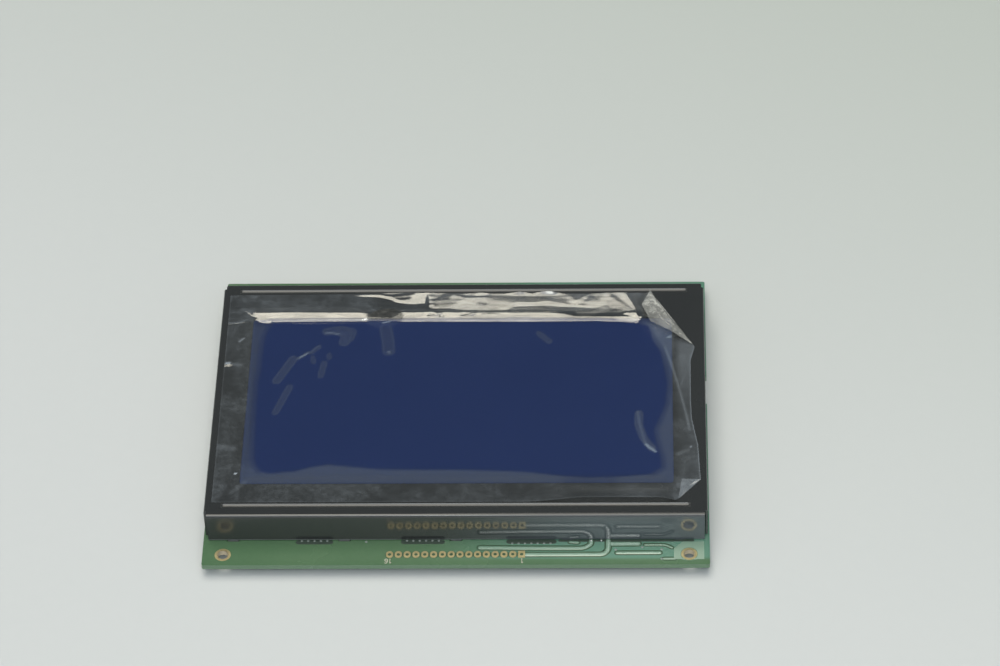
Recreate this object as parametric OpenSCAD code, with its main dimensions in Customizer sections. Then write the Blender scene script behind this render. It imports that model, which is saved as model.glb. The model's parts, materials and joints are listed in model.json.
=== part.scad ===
// Graphic LCD module: a display cell and an edge-lit backlight, clamped by a folded bezel to a driver board.
// The display faces up. +X runs to the right, +Y away from the header edge.
// The driver packages stand on Z = 0.

/* [Board] */
// Width of the board, left to right
board_w = 146.5; // [142:0.5:152]
// Depth of the board, header edge to far edge
board_d = 116; // [113:0.5:122]
// Thickness of the board
board_t = 1.6; // [1.2:0.1:2.4]
// Rounding of the board corners
board_corner_r = 0.6; // [0.3:0.1:2]
// Centre of a mounting hole to the side edge
mount_inset_x = 5.95; // [4.5:0.05:7]
// Centre of a mounting hole to the near edge
mount_inset_y = 4; // [3.2:0.05:5]
// Bore of a plated mounting hole
mount_bore = 3.2; // [2.7:0.1:3.6]
// Outside of the ring around a mounting hole
mount_ring = 4.7; // [4.3:0.1:6]

/* [Header row] */
// Number of plated header holes
pin_count = 16; // [10:1:20]
// Spacing of the header holes
pin_pitch = 2.54; // [2.5:0.01:2.8]
// Bore of a header hole
pin_bore = 1.0; // [0.8:0.05:1.2]
// Width of a header pad along the row
pin_pad_w = 2.0; // [1.7:0.05:2.2]
// Length of a header pad across the row
pin_pad_l = 2.6; // [2.2:0.1:3.2]
// Centre of the header row to the board edge
header_inset = 4; // [3:0.05:4.5]

/* [Bezel] */
// Board margin beside the bezel, left and right
bezel_side_margin = 0.55; // [0.4:0.05:1.2]
// Board margin in front of the bezel, at the header
bezel_front_margin = 9.6; // [9.2:0.1:11]
// Board margin behind the bezel
bezel_back_margin = 11; // [10.4:0.1:12]
// Thickness of the bezel sheet
sheet_t = 0.6; // [0.5:0.05:0.65]
// Outside radius of the folds
fold_r = 0.75; // [0.7:0.05:1.1]
// Front and back walls cut back at each open corner
long_relief = 0.9; // [0.8:0.05:1.5]
// Side walls cut back at each open corner
side_relief = 2; // [1.2:0.1:3]
// Gap between the bezel wall and the board
wall_gap = 0.25; // [0.1:0.05:0.5]
// Bezel face beside the window, left and right
window_side = 9.7; // [9.3:0.1:12]
// Bezel face in front of the window
window_front = 12.7; // [11.5:0.1:14]
// Bezel face behind the window
window_back = 14.7; // [13:0.1:15.6]
// Rounding of the window corners
window_r = 1; // [0.5:0.1:2]
// End of a pressed bead to the side of the bezel
bead_end = 5; // [4:0.1:12]
// Width of a pressed bead
bead_w = 1.5; // [1:0.05:1.9]
// Middle of the near bead to the front of the bezel
bead_front = 4.1; // [3.7:0.05:4.4]
// Middle of the far bead to the back of the bezel
bead_back = 3.2; // [3:0.05:3.6]
// Width of a tab through the board
tab_w = 3; // [2:0.1:4]
// Middle of the outer tabs to the side of the bezel
tab_end = 8.1; // [6:0.1:12]
// Length of a tab below the board
tab_tail = 1.7; // [1:0.1:2.2]
// Twist of a tab below the board
tab_twist = 30; // [15:1:45]
// Width of a side hook
hook_w = 8.6; // [5:0.1:9]
// Side hook behind the middle of the board
hook_y = 11.5; // [6:0.5:16]
// Reach of a side hook under the board
hook_reach = 3; // [2:0.1:4]

/* [Display cell] */
// Thickness of each glass
glass_t = 1.1; // [0.7:0.1:1.4]
// Thickness of each polarizer with its adhesive
polarizer_t = 0.3; // [0.2:0.05:0.4]
// Thickness of the seal between the glasses
seal_t = 0.1; // [0.06:0.02:0.2]
// Width of the seal line
seal_w = 1.5; // [1:0.1:2]
// Gap between the front glass and the bezel walls
glass_gap = 1; // [0.7:0.1:1.3]
// Contact ledge of the front glass over each rubber strip
ledge_d = 4.4; // [4:0.1:5]
// Thickness of a rubber contact strip
strip_t = 2.4; // [1.8:0.1:2.8]

/* [Backlight] */
// Wall of the backlight tray
tray_wall = 2; // [1.5:0.1:2.2]
// Floor of the backlight tray
tray_floor = 1.2; // [0.8:0.1:2]
// Thickness of the reflector sheet
reflector_t = 0.2; // [0.15:0.05:0.4]
// Thickness of the light guide
guide_t = 5.3; // [4:0.1:6]
// Thickness of the diffuser sheet
diffuser_t = 0.2; // [0.15:0.05:0.4]
// Number of LEDs on the strip
led_count = 9; // [5:1:12]
// Diameter of a backlight lead pin
lead_pin_d = 0.6; // [0.5:0.05:0.7]

/* [Parts under the board] */
// Height of a driver package
driver_t = 2.7; // [2.5:0.1:3.2]
// Gap between a driver package and the board
driver_gap = 0.3; // [0.2:0.05:0.4]
// Long side of a driver package
driver_w = 20; // [19.5:0.5:22]
// Short side of a driver package
driver_d = 14; // [13.5:0.5:16]
// Middle of the outer driver packages to the side of the board
driver_side = 29; // [24:0.5:32]
// Middle of the column drivers to the far edge of the board
driver_back = 32; // [28:0.5:38]
// Middle of the row drivers to the header edge of the board
driver_front = 38; // [30:0.5:42]

/* [Protective film] */
// Thickness of the film
film_t = 0.1; // [0.08:0.01:0.15]
// Bezel left of the film
film_left = 2.1; // [0.6:0.1:4]
// Bezel right of the film
film_right = 2; // [0.6:0.1:2.5]
// Bezel in front of the film
film_front = 5.4; // [5.1:0.1:6.5]
// Bezel behind the film
film_back = 4.4; // [4.2:0.1:5.5]
// Height of the wrinkles in the film
wrinkle_h = 1.1; // [0.3:0.1:1.4]
// Height of the folded corner tip above the bezel
flap_lift = 2.2; // [1.5:0.1:3]

/* [Hidden] */
$fn = 48;

// Clearances between pieces that slide or drop into each other
fit_gap = 0.02;
drop_gap = 0.3;
slot_gap = 0.35;
plating_t = 0.06;

// Heights, from the driver packages up to the bezel face
board_z0 = driver_t + driver_gap;
board_z1 = board_z0 + board_t;
tray_z1 = board_z1 + tray_floor;
guide_z0 = tray_z1 + reflector_t;
diffuser_z0 = guide_z0 + guide_t;
rear_polarizer_z0 = diffuser_z0 + diffuser_t;
rear_glass_z0 = rear_polarizer_z0 + polarizer_t;
seal_z0 = rear_glass_z0 + glass_t;
front_glass_z0 = seal_z0 + seal_t;
front_polarizer_z0 = front_glass_z0 + glass_t;
face_z0 = front_polarizer_z0 + polarizer_t;
face_z1 = face_z0 + sheet_t;

// Bezel in plan
bezel_x1 = board_w / 2 - bezel_side_margin;
bezel_y0 = bezel_front_margin - board_d / 2;
bezel_y1 = board_d / 2 - bezel_back_margin;
bezel_my = (bezel_y0 + bezel_y1) / 2;
wall_z0 = board_z1 + wall_gap;
bead_d = polarizer_t;
bead_r = (bead_w * bead_w / 4 + bead_d * bead_d) / (2 * bead_d);
bead_l = 2 * (bezel_x1 - bead_end);
bead_ys = [bezel_y0 + bead_front, bezel_y1 - bead_back];
tab_xs = [for (i = [-2:2]) i * (bezel_x1 - tab_end) / 2];
notch_l = hook_w + 2.4;
notch_x = bezel_x1 - sheet_t - 0.2;

// Window in plan
win_x = bezel_x1 - window_side;
win_y0 = bezel_y0 + window_front;
win_y1 = bezel_y1 - window_back;

// Glass in plan
glass_x1 = bezel_x1 - sheet_t - glass_gap;
glass_y0 = bezel_y0 + sheet_t + glass_gap;
glass_y1 = bezel_y1 - sheet_t - glass_gap;
rear_x0 = -glass_x1 + ledge_d;
rear_x1 = glass_x1 - 1.5;
rear_y0 = glass_y0 + ledge_d;
rear_y1 = glass_y1 - ledge_d;
strip_inset = (ledge_d - strip_t) / 2;

// Backlight in plan: the tray stands under the rear glass, the LEDs along its right wall
well_x0 = rear_x0 + tray_wall;
well_x1 = rear_x1 - tray_wall;
well_y0 = rear_y0 + tray_wall;
well_y1 = rear_y1 - tray_wall;
led_deep = 1.2;
led_w = 3.4;
led_h = 2.4;
led_end = 6;
led_board_t = 0.8;
led_board_end = 2;
pin_x = well_x1 - lead_pin_d / 2 - 0.1;
led_board_x = pin_x - lead_pin_d / 2 - fit_gap - led_board_t;
led_x = led_board_x - led_deep;
guide_x1 = led_x - 0.2;
pin_ys = [-14, -8];

// Header and mounting holes
header_y = header_inset - board_d / 2;
pin_x1 = (pin_count - 1) * pin_pitch / 2;
mount_x = board_w / 2 - mount_inset_x;
mount_y = board_d / 2 - mount_inset_y;

// Parts under the board
driver_pitch = board_w / 2 - driver_side;
driver_back_y = board_d / 2 - driver_back;
driver_front_y = driver_front - board_d / 2;
amp_t = 1.5;
amp_w = 8.7;
amp_d = 3.9;
amp_gap = 0.15;
lead_t = 0.15;
chip_pitch = 3.6;
chip_row = 7.5;
small_chip = [2, 1.25];
large_chip = [3.2, 1.6];
resistor_t = 0.55;
capacitor_t = 0.8;
large_capacitor_t = 1.2;

// Film in plan, its slopes into the window, and the corners that are folded over
film_x0 = film_left - bezel_x1;
film_x1 = bezel_x1 - film_right;
film_y0 = bezel_y0 + film_front;
film_y1 = bezel_y1 - film_back;
film_gap = 0.05;
slope_l = 5;
slope_r = 7;
slope_f = 5;
slope_b = 1.8;
ridge_y = win_y1 + 2.8;
fold_a = [film_x1 - 13.8, film_y1];
fold_b = [film_x1 - 1.3, film_y1 - 22.4];
fold_c = [film_x1, film_y0 + 8.7];
fold_d = [film_x1 - 7, film_y0];

// Rounded rectangle between two corners
module plan(x0, y0, x1, y1, r) {
  translate([x0 + r, y0]) square([x1 - x0 - 2 * r, y1 - y0]);
  translate([x0, y0 + r]) square([x1 - x0, y1 - y0 - 2 * r]);
  for (x = [x0 + r, x1 - r]) {
    for (y = [y0 + r, y1 - r]) {
      translate([x, y]) circle(r);
    }
  }
}

// Plain sheet or block between two corners
module block(x0, y0, z0, x1, y1, z1) {
  translate([x0, y0, z0]) cube([x1 - x0, y1 - y0, z1 - z0]);
}

module mount_places() {
  for (x = [-mount_x, mount_x]) {
    for (y = [-mount_y, mount_y]) {
      translate([x, y, 0]) children();
    }
  }
}

module header_places() {
  for (i = [0:pin_count - 1]) {
    translate([pin_x1 - i * pin_pitch, header_y, 0]) children();
  }
}

// Board with its drilled holes, tab slots and edge notches
module pcb() {
  color("seagreen") difference() {
    translate([0, 0, board_z0]) linear_extrude(board_t)
      plan(-board_w / 2, -board_d / 2, board_w / 2, board_d / 2, board_corner_r);
    mount_places() translate([0, 0, board_z0 - 1])
      cylinder(r = mount_bore / 2 + plating_t + fit_gap, h = board_t + 2);
    header_places() translate([0, 0, board_z0 - 1])
      cylinder(r = pin_bore / 2 + plating_t + fit_gap, h = board_t + 2);
    for (x = tab_xs) {
      for (y = [bezel_y0 + sheet_t / 2, bezel_y1 - sheet_t / 2]) {
        block(x - tab_w / 2 - slot_gap, y - sheet_t / 2 - slot_gap, board_z0 - 1,
          x + tab_w / 2 + slot_gap, y + sheet_t / 2 + slot_gap, board_z1 + 1);
      }
    }
    for (s = [0, 1]) {
      mirror([s, 0, 0]) block(notch_x, hook_y - notch_l / 2, board_z0 - 1,
        board_w / 2 + 1, hook_y + notch_l / 2, board_z1 + 1);
    }
    for (y = pin_ys) {
      translate([pin_x, y, board_z0 - 1]) cylinder(d = lead_pin_d + 0.2, h = board_t + 2);
    }
  }
}

// Pad outline along the row: the first pad is square, the others are oval
module pad_outline(first) {
  if (first) {
    square([pin_pad_w, pin_pad_l], center = true);
  } else {
    square([pin_pad_w, pin_pad_l - pin_pad_w], center = true);
    for (s = [-1, 1]) {
      translate([0, s * (pin_pad_l - pin_pad_w) / 2]) circle(pin_pad_w / 2);
    }
  }
}

// Plated header holes with a pad on each side of the board
module header_pads() {
  color("gold") for (i = [0:pin_count - 1]) {
    translate([pin_x1 - i * pin_pitch, header_y, 0]) difference() {
      union() {
        translate([0, 0, board_z0]) cylinder(r = pin_bore / 2 + plating_t, h = board_t);
        translate([0, 0, board_z1]) linear_extrude(plating_t) pad_outline(i == 0);
        translate([0, 0, board_z0 - plating_t]) linear_extrude(plating_t) pad_outline(i == 0);
      }
      translate([0, 0, board_z0 - 1]) cylinder(d = pin_bore, h = board_t + 2);
    }
  }
}

// Plated mounting holes with a ring on each side of the board
module mount_hole_rings() {
  color("gold") mount_places() difference() {
    union() {
      translate([0, 0, board_z0]) cylinder(r = mount_bore / 2 + plating_t, h = board_t);
      translate([0, 0, board_z1]) cylinder(d = mount_ring, h = plating_t);
      translate([0, 0, board_z0 - plating_t]) cylinder(d = mount_ring, h = plating_t);
    }
    translate([0, 0, board_z0 - 1]) cylinder(d = mount_bore, h = board_t + 2);
  }
}

// Section of a folded wall: a quarter ring at the fold and a straight leg down to the board
module wall_section() {
  intersection() {
    difference() {
      translate([0, face_z1 - fold_r]) circle(fold_r);
      translate([0, face_z1 - fold_r]) circle(fold_r - sheet_t);
    }
    translate([0, face_z1 - fold_r]) square(fold_r);
  }
  translate([fold_r - sheet_t, wall_z0]) square([sheet_t, face_z1 - fold_r - wall_z0]);
}

// Wall of a given length that stands on the far side of a line through the origin along X
module wall(length) {
  rotate([90, 0, 90]) translate([0, 0, -length / 2]) linear_extrude(length) wall_section();
}

// Round bar with ball ends, for the pressed beads
module bead_bar(r) {
  rotate([0, 90, 0]) cylinder(r = r, h = bead_l - bead_w, center = true);
  for (s = [-1, 1]) {
    translate([s * (bead_l - bead_w) / 2, 0, 0]) sphere(r);
  }
}

// Tab that passes a slot of the board and is twisted below it
module twist_tab() {
  block(-tab_w / 2, -sheet_t / 2, board_z0 - 0.4, tab_w / 2, sheet_t / 2, wall_z0 + 1);
  rotate([0, 0, tab_twist])
    block(-tab_w / 2, -sheet_t / 2, board_z0 - tab_tail, tab_w / 2, sheet_t / 2, board_z0);
}

// Hook that passes an edge notch of the board and is bent under it
module side_hook() {
  block(bezel_x1 - sheet_t, hook_y - hook_w / 2, board_z0, bezel_x1, hook_y + hook_w / 2, wall_z0 + 1);
  translate([0, hook_y + hook_w / 2, board_z0]) rotate([90, 0, 0]) linear_extrude(hook_w) {
    intersection() {
      translate([bezel_x1 - sheet_t, 0]) circle(sheet_t);
      translate([bezel_x1 - sheet_t, -sheet_t]) square(sheet_t);
    }
    translate([bezel_x1 - sheet_t - hook_reach, -sheet_t]) square([hook_reach, sheet_t]);
  }
}

// Bezel folded from one sheet: face with window and beads, four walls with open corners, tabs and hooks
module bezel() {
  color("dimgray") difference() {
    union() {
      block(-bezel_x1 + fold_r, bezel_y0 + fold_r, face_z0, bezel_x1 - fold_r, bezel_y1 - fold_r, face_z1);
      translate([0, bezel_y1 - fold_r, 0]) wall(2 * (bezel_x1 - long_relief));
      translate([0, bezel_y0 + fold_r, 0]) mirror([0, 1, 0]) wall(2 * (bezel_x1 - long_relief));
      for (a = [-90, 90]) {
        translate([0, bezel_my, 0]) rotate([0, 0, a]) translate([0, bezel_x1 - fold_r, 0])
          wall(bezel_y1 - bezel_y0 - 2 * side_relief);
      }
      intersection() {
        for (y = bead_ys) {
          translate([0, y, face_z1 - bead_d + bead_r]) bead_bar(bead_r + sheet_t);
        }
        block(-bezel_x1, bezel_y0 + sheet_t, face_z0 - bead_d,
          bezel_x1, bezel_y1 - sheet_t, face_z0 + sheet_t / 2);
      }
      for (x = tab_xs) {
        translate([x, bezel_y0 + sheet_t / 2, 0]) twist_tab();
        translate([x, bezel_y1 - sheet_t / 2, 0]) mirror([0, 1, 0]) twist_tab();
      }
      side_hook();
      mirror([1, 0, 0]) side_hook();
    }
    translate([0, 0, face_z0 - 1]) linear_extrude(sheet_t + 2) plan(-win_x, win_y0, win_x, win_y1, window_r);
    for (y = bead_ys) {
      translate([0, y, face_z1 - bead_d + bead_r]) bead_bar(bead_r);
    }
  }
}

// Polarizer on the front glass, lapped by the bezel around the window
module front_polarizer() {
  color("midnightblue") block(-win_x - 2, win_y0 - 2, front_polarizer_z0, win_x + 2, win_y1 + 2, face_z0);
}

// Front glass with the contact ledges
module front_glass() {
  color("lightblue") block(-glass_x1, glass_y0, front_glass_z0, glass_x1, glass_y1, front_polarizer_z0);
}

// Seal line that holds the two glasses together
module cell_seal() {
  color("wheat") difference() {
    block(rear_x0 + 0.5, rear_y0 + 0.5, seal_z0, rear_x1 - 0.5, rear_y1 - 0.5, front_glass_z0);
    block(rear_x0 + 0.5 + seal_w, rear_y0 + 0.5 + seal_w, seal_z0 - 1,
      rear_x1 - 0.5 - seal_w, rear_y1 - 0.5 - seal_w, front_glass_z0 + 1);
  }
}

// Plug over the filling port, on the right edge of the cell
module fill_plug() {
  color("khaki") translate([rear_x1, 8, rear_glass_z0]) linear_extrude(glass_t + seal_t) intersection() {
    circle(1.2);
    translate([0, -2]) square([2, 4]);
  }
}

// Rear glass
module rear_glass() {
  color("lightblue") block(rear_x0, rear_y0, rear_glass_z0, rear_x1, rear_y1, seal_z0);
}

// Polarizer under the rear glass, inside the rim of the tray
module rear_polarizer() {
  color("midnightblue") block(well_x0 + drop_gap, well_y0 + drop_gap, rear_polarizer_z0,
    well_x1 - drop_gap, well_y1 - drop_gap, rear_glass_z0);
}

// Rubber contact strips between the board and the ledges of the front glass
module contact_strip_front() {
  color("pink") block(rear_x0 + 1, glass_y0 + strip_inset, board_z1,
    rear_x1 - 1, glass_y0 + strip_inset + strip_t, front_glass_z0);
}

module contact_strip_back() {
  color("pink") block(rear_x0 + 1, glass_y1 - strip_inset - strip_t, board_z1,
    rear_x1 - 1, glass_y1 - strip_inset, front_glass_z0);
}

module contact_strip_side() {
  color("pink") block(-glass_x1 + strip_inset, rear_y0 + 1, board_z1,
    -glass_x1 + strip_inset + strip_t, rear_y1 - 1, front_glass_z0);
}

// Diffuser sheet on the light guide
module diffuser_sheet() {
  color("white") block(well_x0 + drop_gap, well_y0 + drop_gap, diffuser_z0,
    guide_x1, well_y1 - drop_gap, rear_polarizer_z0);
}

// Light guide plate
module light_guide() {
  color("aliceblue") block(well_x0 + drop_gap, well_y0 + drop_gap, guide_z0,
    guide_x1, well_y1 - drop_gap, diffuser_z0);
}

// Reflector sheet under the light guide
module reflector_sheet() {
  color("silver") block(well_x0 + drop_gap, well_y0 + drop_gap, tray_z1,
    guide_x1, well_y1 - drop_gap, guide_z0);
}

// Tray of the backlight, open at the top, with holes for the lead pins
module backlight_tray() {
  color("whitesmoke") difference() {
    block(rear_x0, rear_y0, board_z1, rear_x1, rear_y1, rear_glass_z0);
    block(well_x0, well_y0, tray_z1, well_x1, well_y1, rear_glass_z0 + 1);
    for (y = pin_ys) {
      translate([pin_x, y, board_z1 - 1]) cylinder(d = lead_pin_d + 0.2, h = tray_floor + 2);
    }
  }
}

// Strip board of the LEDs, upright along the right wall of the tray
module led_board() {
  color("darkgreen") block(led_board_x, well_y0 + led_board_end, tray_z1,
    led_board_x + led_board_t, well_y1 - led_board_end, diffuser_z0);
}

// LEDs facing the edge of the light guide
module leds() {
  led_pitch = (well_y1 - well_y0 - 2 * led_end) / (led_count - 1);
  led_z = guide_z0 + guide_t / 2;
  color("lightyellow") for (i = [0:led_count - 1]) {
    y = well_y0 + led_end + i * led_pitch;
    block(led_x, y - led_w / 2, led_z - led_h / 2, led_board_x, y + led_w / 2, led_z + led_h / 2);
  }
}

// Lead pins of the backlight, through the tray and the board
module backlight_pins() {
  color("silver") for (y = pin_ys) {
    translate([pin_x, y, board_z0 - 1.2]) cylinder(d = lead_pin_d, h = diffuser_z0 - 1 - board_z0 + 1.2);
  }
}

// Moulded package between two heights, with draft on all sides and a dimple at its first lead
module package(w, d, z0, z1) {
  m = (z0 + z1) / 2;
  draft = 0.2;
  difference() {
    intersection() {
      translate([0, d / 2, 0]) rotate([90, 0, 0]) linear_extrude(d) polygon([
        [-w / 2 + draft, z0], [w / 2 - draft, z0], [w / 2, m],
        [w / 2 - draft, z1], [-w / 2 + draft, z1], [-w / 2, m]]);
      translate([-w / 2, 0, 0]) rotate([90, 0, 90]) linear_extrude(w) polygon([
        [-d / 2 + draft, z0], [d / 2 - draft, z0], [d / 2, m],
        [d / 2 - draft, z1], [-d / 2 + draft, z1], [-d / 2, m]]);
    }
    translate([w / 2 - 1.6, d / 2 - 1.2, z0 - 1]) cylinder(r = 0.45, h = 1.1);
  }
}

// One row of bent leads along the far side of a package, from its middle height to the board
module lead_row(n, pitch, w, out, m) {
  for (i = [0:n - 1]) {
    translate([(i - (n - 1) / 2) * pitch - w / 2, out, 0]) rotate([90, 0, 90]) linear_extrude(w) polygon([
      [0, m - lead_t / 2], [0.55, m - lead_t / 2], [0.95, board_z0 - lead_t], [1.7, board_z0 - lead_t],
      [1.7, board_z0], [0.82, board_z0], [0.42, m + lead_t / 2], [0, m + lead_t / 2]]);
  }
}

// Four rows of leads of a driver package
module driver_lead_rows() {
  for (a = [0, 180]) {
    rotate([0, 0, a]) lead_row(24, 0.8, 0.35, driver_d / 2, driver_t / 2);
    rotate([0, 0, a + 90]) lead_row(16, 0.8, 0.35, driver_w / 2, driver_t / 2);
  }
}

module column_places() {
  for (i = [-1:1]) {
    translate([i * driver_pitch, driver_back_y, 0]) children();
  }
}

module row_places() {
  for (i = [-1, 1]) {
    translate([i * driver_pitch, driver_front_y, 0]) children();
  }
}

// Packages of the three column drivers
module column_drivers() {
  color("black") column_places() package(driver_w, driver_d, 0, driver_t);
}

module column_driver_leads() {
  color("silver") column_places() driver_lead_rows();
}

// Packages of the two row drivers
module row_drivers() {
  color("black") row_places() package(driver_w, driver_d, 0, driver_t);
}

module row_driver_leads() {
  color("silver") row_places() driver_lead_rows();
}

// Amplifier package that feeds the bias voltages
module bias_amplifier() {
  color("black") translate([0, driver_front_y, 0])
    package(amp_w, amp_d, board_z0 - amp_gap - amp_t, board_z0 - amp_gap);
}

module bias_amplifier_leads() {
  color("silver") translate([0, driver_front_y, 0]) for (a = [0, 180]) {
    rotate([0, 0, a]) lead_row(7, 1.27, 0.4, amp_d / 2, board_z0 - amp_gap - amp_t / 2);
  }
}

// Chip part under the board: a body with two metal ends
module chip(size, h) {
  l = size[0];
  w = size[1];
  block(-l / 2, -w / 2, board_z0 - h, l / 2, w / 2, board_z0);
  for (s = [-1, 1]) {
    translate([s * (l / 2 - l / 8), 0, 0]) block(-l / 8 - 0.03, -w / 2 - 0.03, board_z0 - h - 0.03,
      l / 8 + 0.03, w / 2 + 0.03, board_z0);
  }
}

// Resistors of the bias ladder, beside the amplifier
module chip_resistors() {
  color("black") for (i = [-2:2]) {
    translate([i * chip_pitch, driver_front_y + chip_row, 0]) rotate([0, 0, 90])
      chip(small_chip, resistor_t);
  }
}

// Capacitors beside the drivers and the amplifier
module chip_capacitors() {
  color("tan") {
    for (i = [-2.5, -1.5, -0.5, 0.5, 1.5, 2.5]) {
      translate([i * chip_pitch, driver_front_y - chip_row, 0]) rotate([0, 0, 90])
        chip(small_chip, capacitor_t);
    }
    for (i = [-0.5, 0.5]) {
      translate([i * driver_pitch, driver_back_y, 0]) chip(large_chip, large_capacitor_t);
    }
    for (i = [-0.5, 0.5]) {
      translate([i * driver_pitch, driver_front_y, 0]) chip(large_chip, large_capacitor_t);
    }
  }
}

// Film: smooth step from 0 to 1
function ease(t) = t <= 0 ? 0 : t >= 1 ? 1 : t * t * (3 - 2 * t);

// Film: how far it has sunk into the window, 0 on the bezel face and 1 on the polarizer
function sunk(x, y) = min(ease((x + win_x) / slope_l), ease((win_x - x) / slope_r),
  ease((y - win_y0) / slope_f), ease((win_y1 - y) / slope_b));

// Film: ridge along the far window edge, pinched in one place
function ridge(x, y) = ease((y - win_y1) / (ridge_y - win_y1)) * (1 - 0.75 * ease((y - ridge_y) / 2.5))
  * ease((x + win_x) / 6) * ease((fold_a[0] - x) / 6) * (1 - 0.7 * ease(1 - abs(x + 16) / 6));

// Film: creases that fan out from beside the folded corner into the far band
function fan(x, y) = let (a = atan2(y - win_y1 + 1.5, fold_a[0] - 1 - x))
  pow(abs(sin(9 * a + 40 * sin(2 * a))), 2) * ease((y - ridge_y + 1) / 3)
  * ease((film_y1 - y) / 3 + 0.35) * ease((fold_a[0] - x) / 4) * (0.25 + 0.75 * ease((x + 45) / 70));

// Film: edges that stand clear of the bezel, at the right and at the front right
function curl(x, y) = 0.4 * ease((x - win_x) / (film_x1 - win_x)) * ease((y + 32) / 12) * ease((20 - y) / 12)
  + 1.1 * ease((win_y0 - y) / (win_y0 - film_y0)) * ease((x - 24) / 14) * ease((fold_d[0] - x) / 8);

// Film: height of its underside
function film_z(x, y) = face_z1 + film_gap - sheet_t * sunk(x, y)
  + wrinkle_h * (0.8 * ridge(x, y) + fan(x, y) + curl(x, y));

// Film: places of the grid lines, which follow the window edges and the ends of the slopes
function span(a, b, n) = [for (i = [0:n - 1]) a + (b - a) * i / n];
film_xs = concat(span(film_x0, -win_x, 2), span(-win_x, slope_l - win_x, 3),
  span(slope_l - win_x, win_x - slope_r, 26), span(win_x - slope_r, win_x, 4),
  span(win_x, film_x1, 4), [film_x1]);
film_ys = concat(span(film_y0, win_y0, 3), span(win_y0, slope_f + win_y0, 3),
  span(slope_f + win_y0, win_y1 - slope_b, 6), span(win_y1 - slope_b, win_y1, 2), span(win_y1, ridge_y, 2),
  span(ridge_y, film_y1, 4), [film_y1]);

// Film: closed sheet over the grid
module film_sheet() {
  nx = len(film_xs);
  ny = len(film_ys);
  n = nx * ny;
  low = [for (y = film_ys) for (x = film_xs) [x, y, film_z(x, y)]];
  high = [for (p = low) [p[0], p[1], p[2] + film_t]];
  inner = [for (j = [0:ny - 2]) for (i = [0:nx - 2]) j * nx + i];
  top_faces = [for (k = inner) for (f = [[k, k + nx, k + nx + 1], [k, k + nx + 1, k + 1]])
    [for (v = f) v + n]];
  low_faces = [for (k = inner) for (f = [[k, k + nx + 1, k + nx], [k, k + 1, k + nx + 1]]) f];
  rim = concat([for (i = [0:nx - 2]) i], [for (j = [0:ny - 2]) j * nx + nx - 1],
    [for (i = [nx - 1:-1:1]) (ny - 1) * nx + i], [for (j = [ny - 1:-1:1]) j * nx]);
  rim_faces = [for (k = [0:len(rim) - 1]) let (a = rim[k], b = rim[(k + 1) % len(rim)])
    for (f = [[a, a + n, b + n], [a, b + n, b]]) f];
  polyhedron(points = concat(low, high), faces = concat(top_faces, low_faces, rim_faces), convexity = 6);
}

// Film: corner folded over, an open fan of triangles from the first point, which is an end of the fold
module film_flap(points) {
  n = len(points);
  low = [for (p = points) [p[0], p[1], film_z(p[0], p[1]) + p[2]]];
  high = [for (i = [0:n - 1]) low[i] + [0, 0, i == 0 || i == n - 1 ? 2 * film_t : film_t]];
  polyhedron(points = concat(low, high), faces = concat([for (i = [1:n - 2]) [0, i, i + 1]],
    [for (i = [1:n - 2]) [n, n + i + 1, n + i]],
    [for (i = [0:n - 1]) let (j = (i + 1) % n) for (f = [[i, i + n, j + n], [i, j + n, j]]) f]));
}

// Protective film laid over the bezel, with two corners folded back
module protective_film() {
  color("azure") union() {
    intersection() {
      film_sheet();
      translate([0, 0, face_z0 - 5]) linear_extrude(20) polygon([[film_x0 - 1, film_y0 - 1],
        [fold_d[0], film_y0 - 1], fold_d, fold_c, [film_x1 + 1, fold_c[1]], [film_x1 + 1, fold_b[1] - 2],
        fold_b, fold_a, [fold_a[0], film_y1 + 1], [film_x0 - 1, film_y1 + 1]]);
    }
    film_flap([[fold_b[0], fold_b[1], 0], [fold_a[0], fold_a[1], 0],
      [fold_a[0] - 3, fold_a[1] - 7.2, 0.8 * flap_lift], [fold_a[0] - 0.7, fold_a[1] - 14.8, 1.5 * flap_lift],
      [fold_a[0] + 6, fold_a[1] - 19.2, 0.8 * flap_lift]]);
    film_flap([[fold_d[0], fold_d[1], 0], [fold_c[0], fold_c[1], 0],
      [fold_c[0] - 5.4, fold_c[1] - 0.4, 0.7 * flap_lift]]);
  }
}

pcb();
header_pads();
mount_hole_rings();
bezel();
front_polarizer();
front_glass();
cell_seal();
fill_plug();
rear_glass();
rear_polarizer();
contact_strip_front();
contact_strip_back();
contact_strip_side();
diffuser_sheet();
light_guide();
reflector_sheet();
backlight_tray();
led_board();
leds();
backlight_pins();
column_drivers();
column_driver_leads();
row_drivers();
row_driver_leads();
bias_amplifier();
bias_amplifier_leads();
chip_resistors();
chip_capacitors();
protective_film();
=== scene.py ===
"""Looks of the graphic display module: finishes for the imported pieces, the board's tracks, vias and pin
numbers, the wrinkled protective film, a pale table, soft light and the camera."""

import json
import math

import bpy
import numpy as np
from mathutils import Matrix, Vector
from mathutils.geometry import delaunay_2d_cdt


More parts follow.
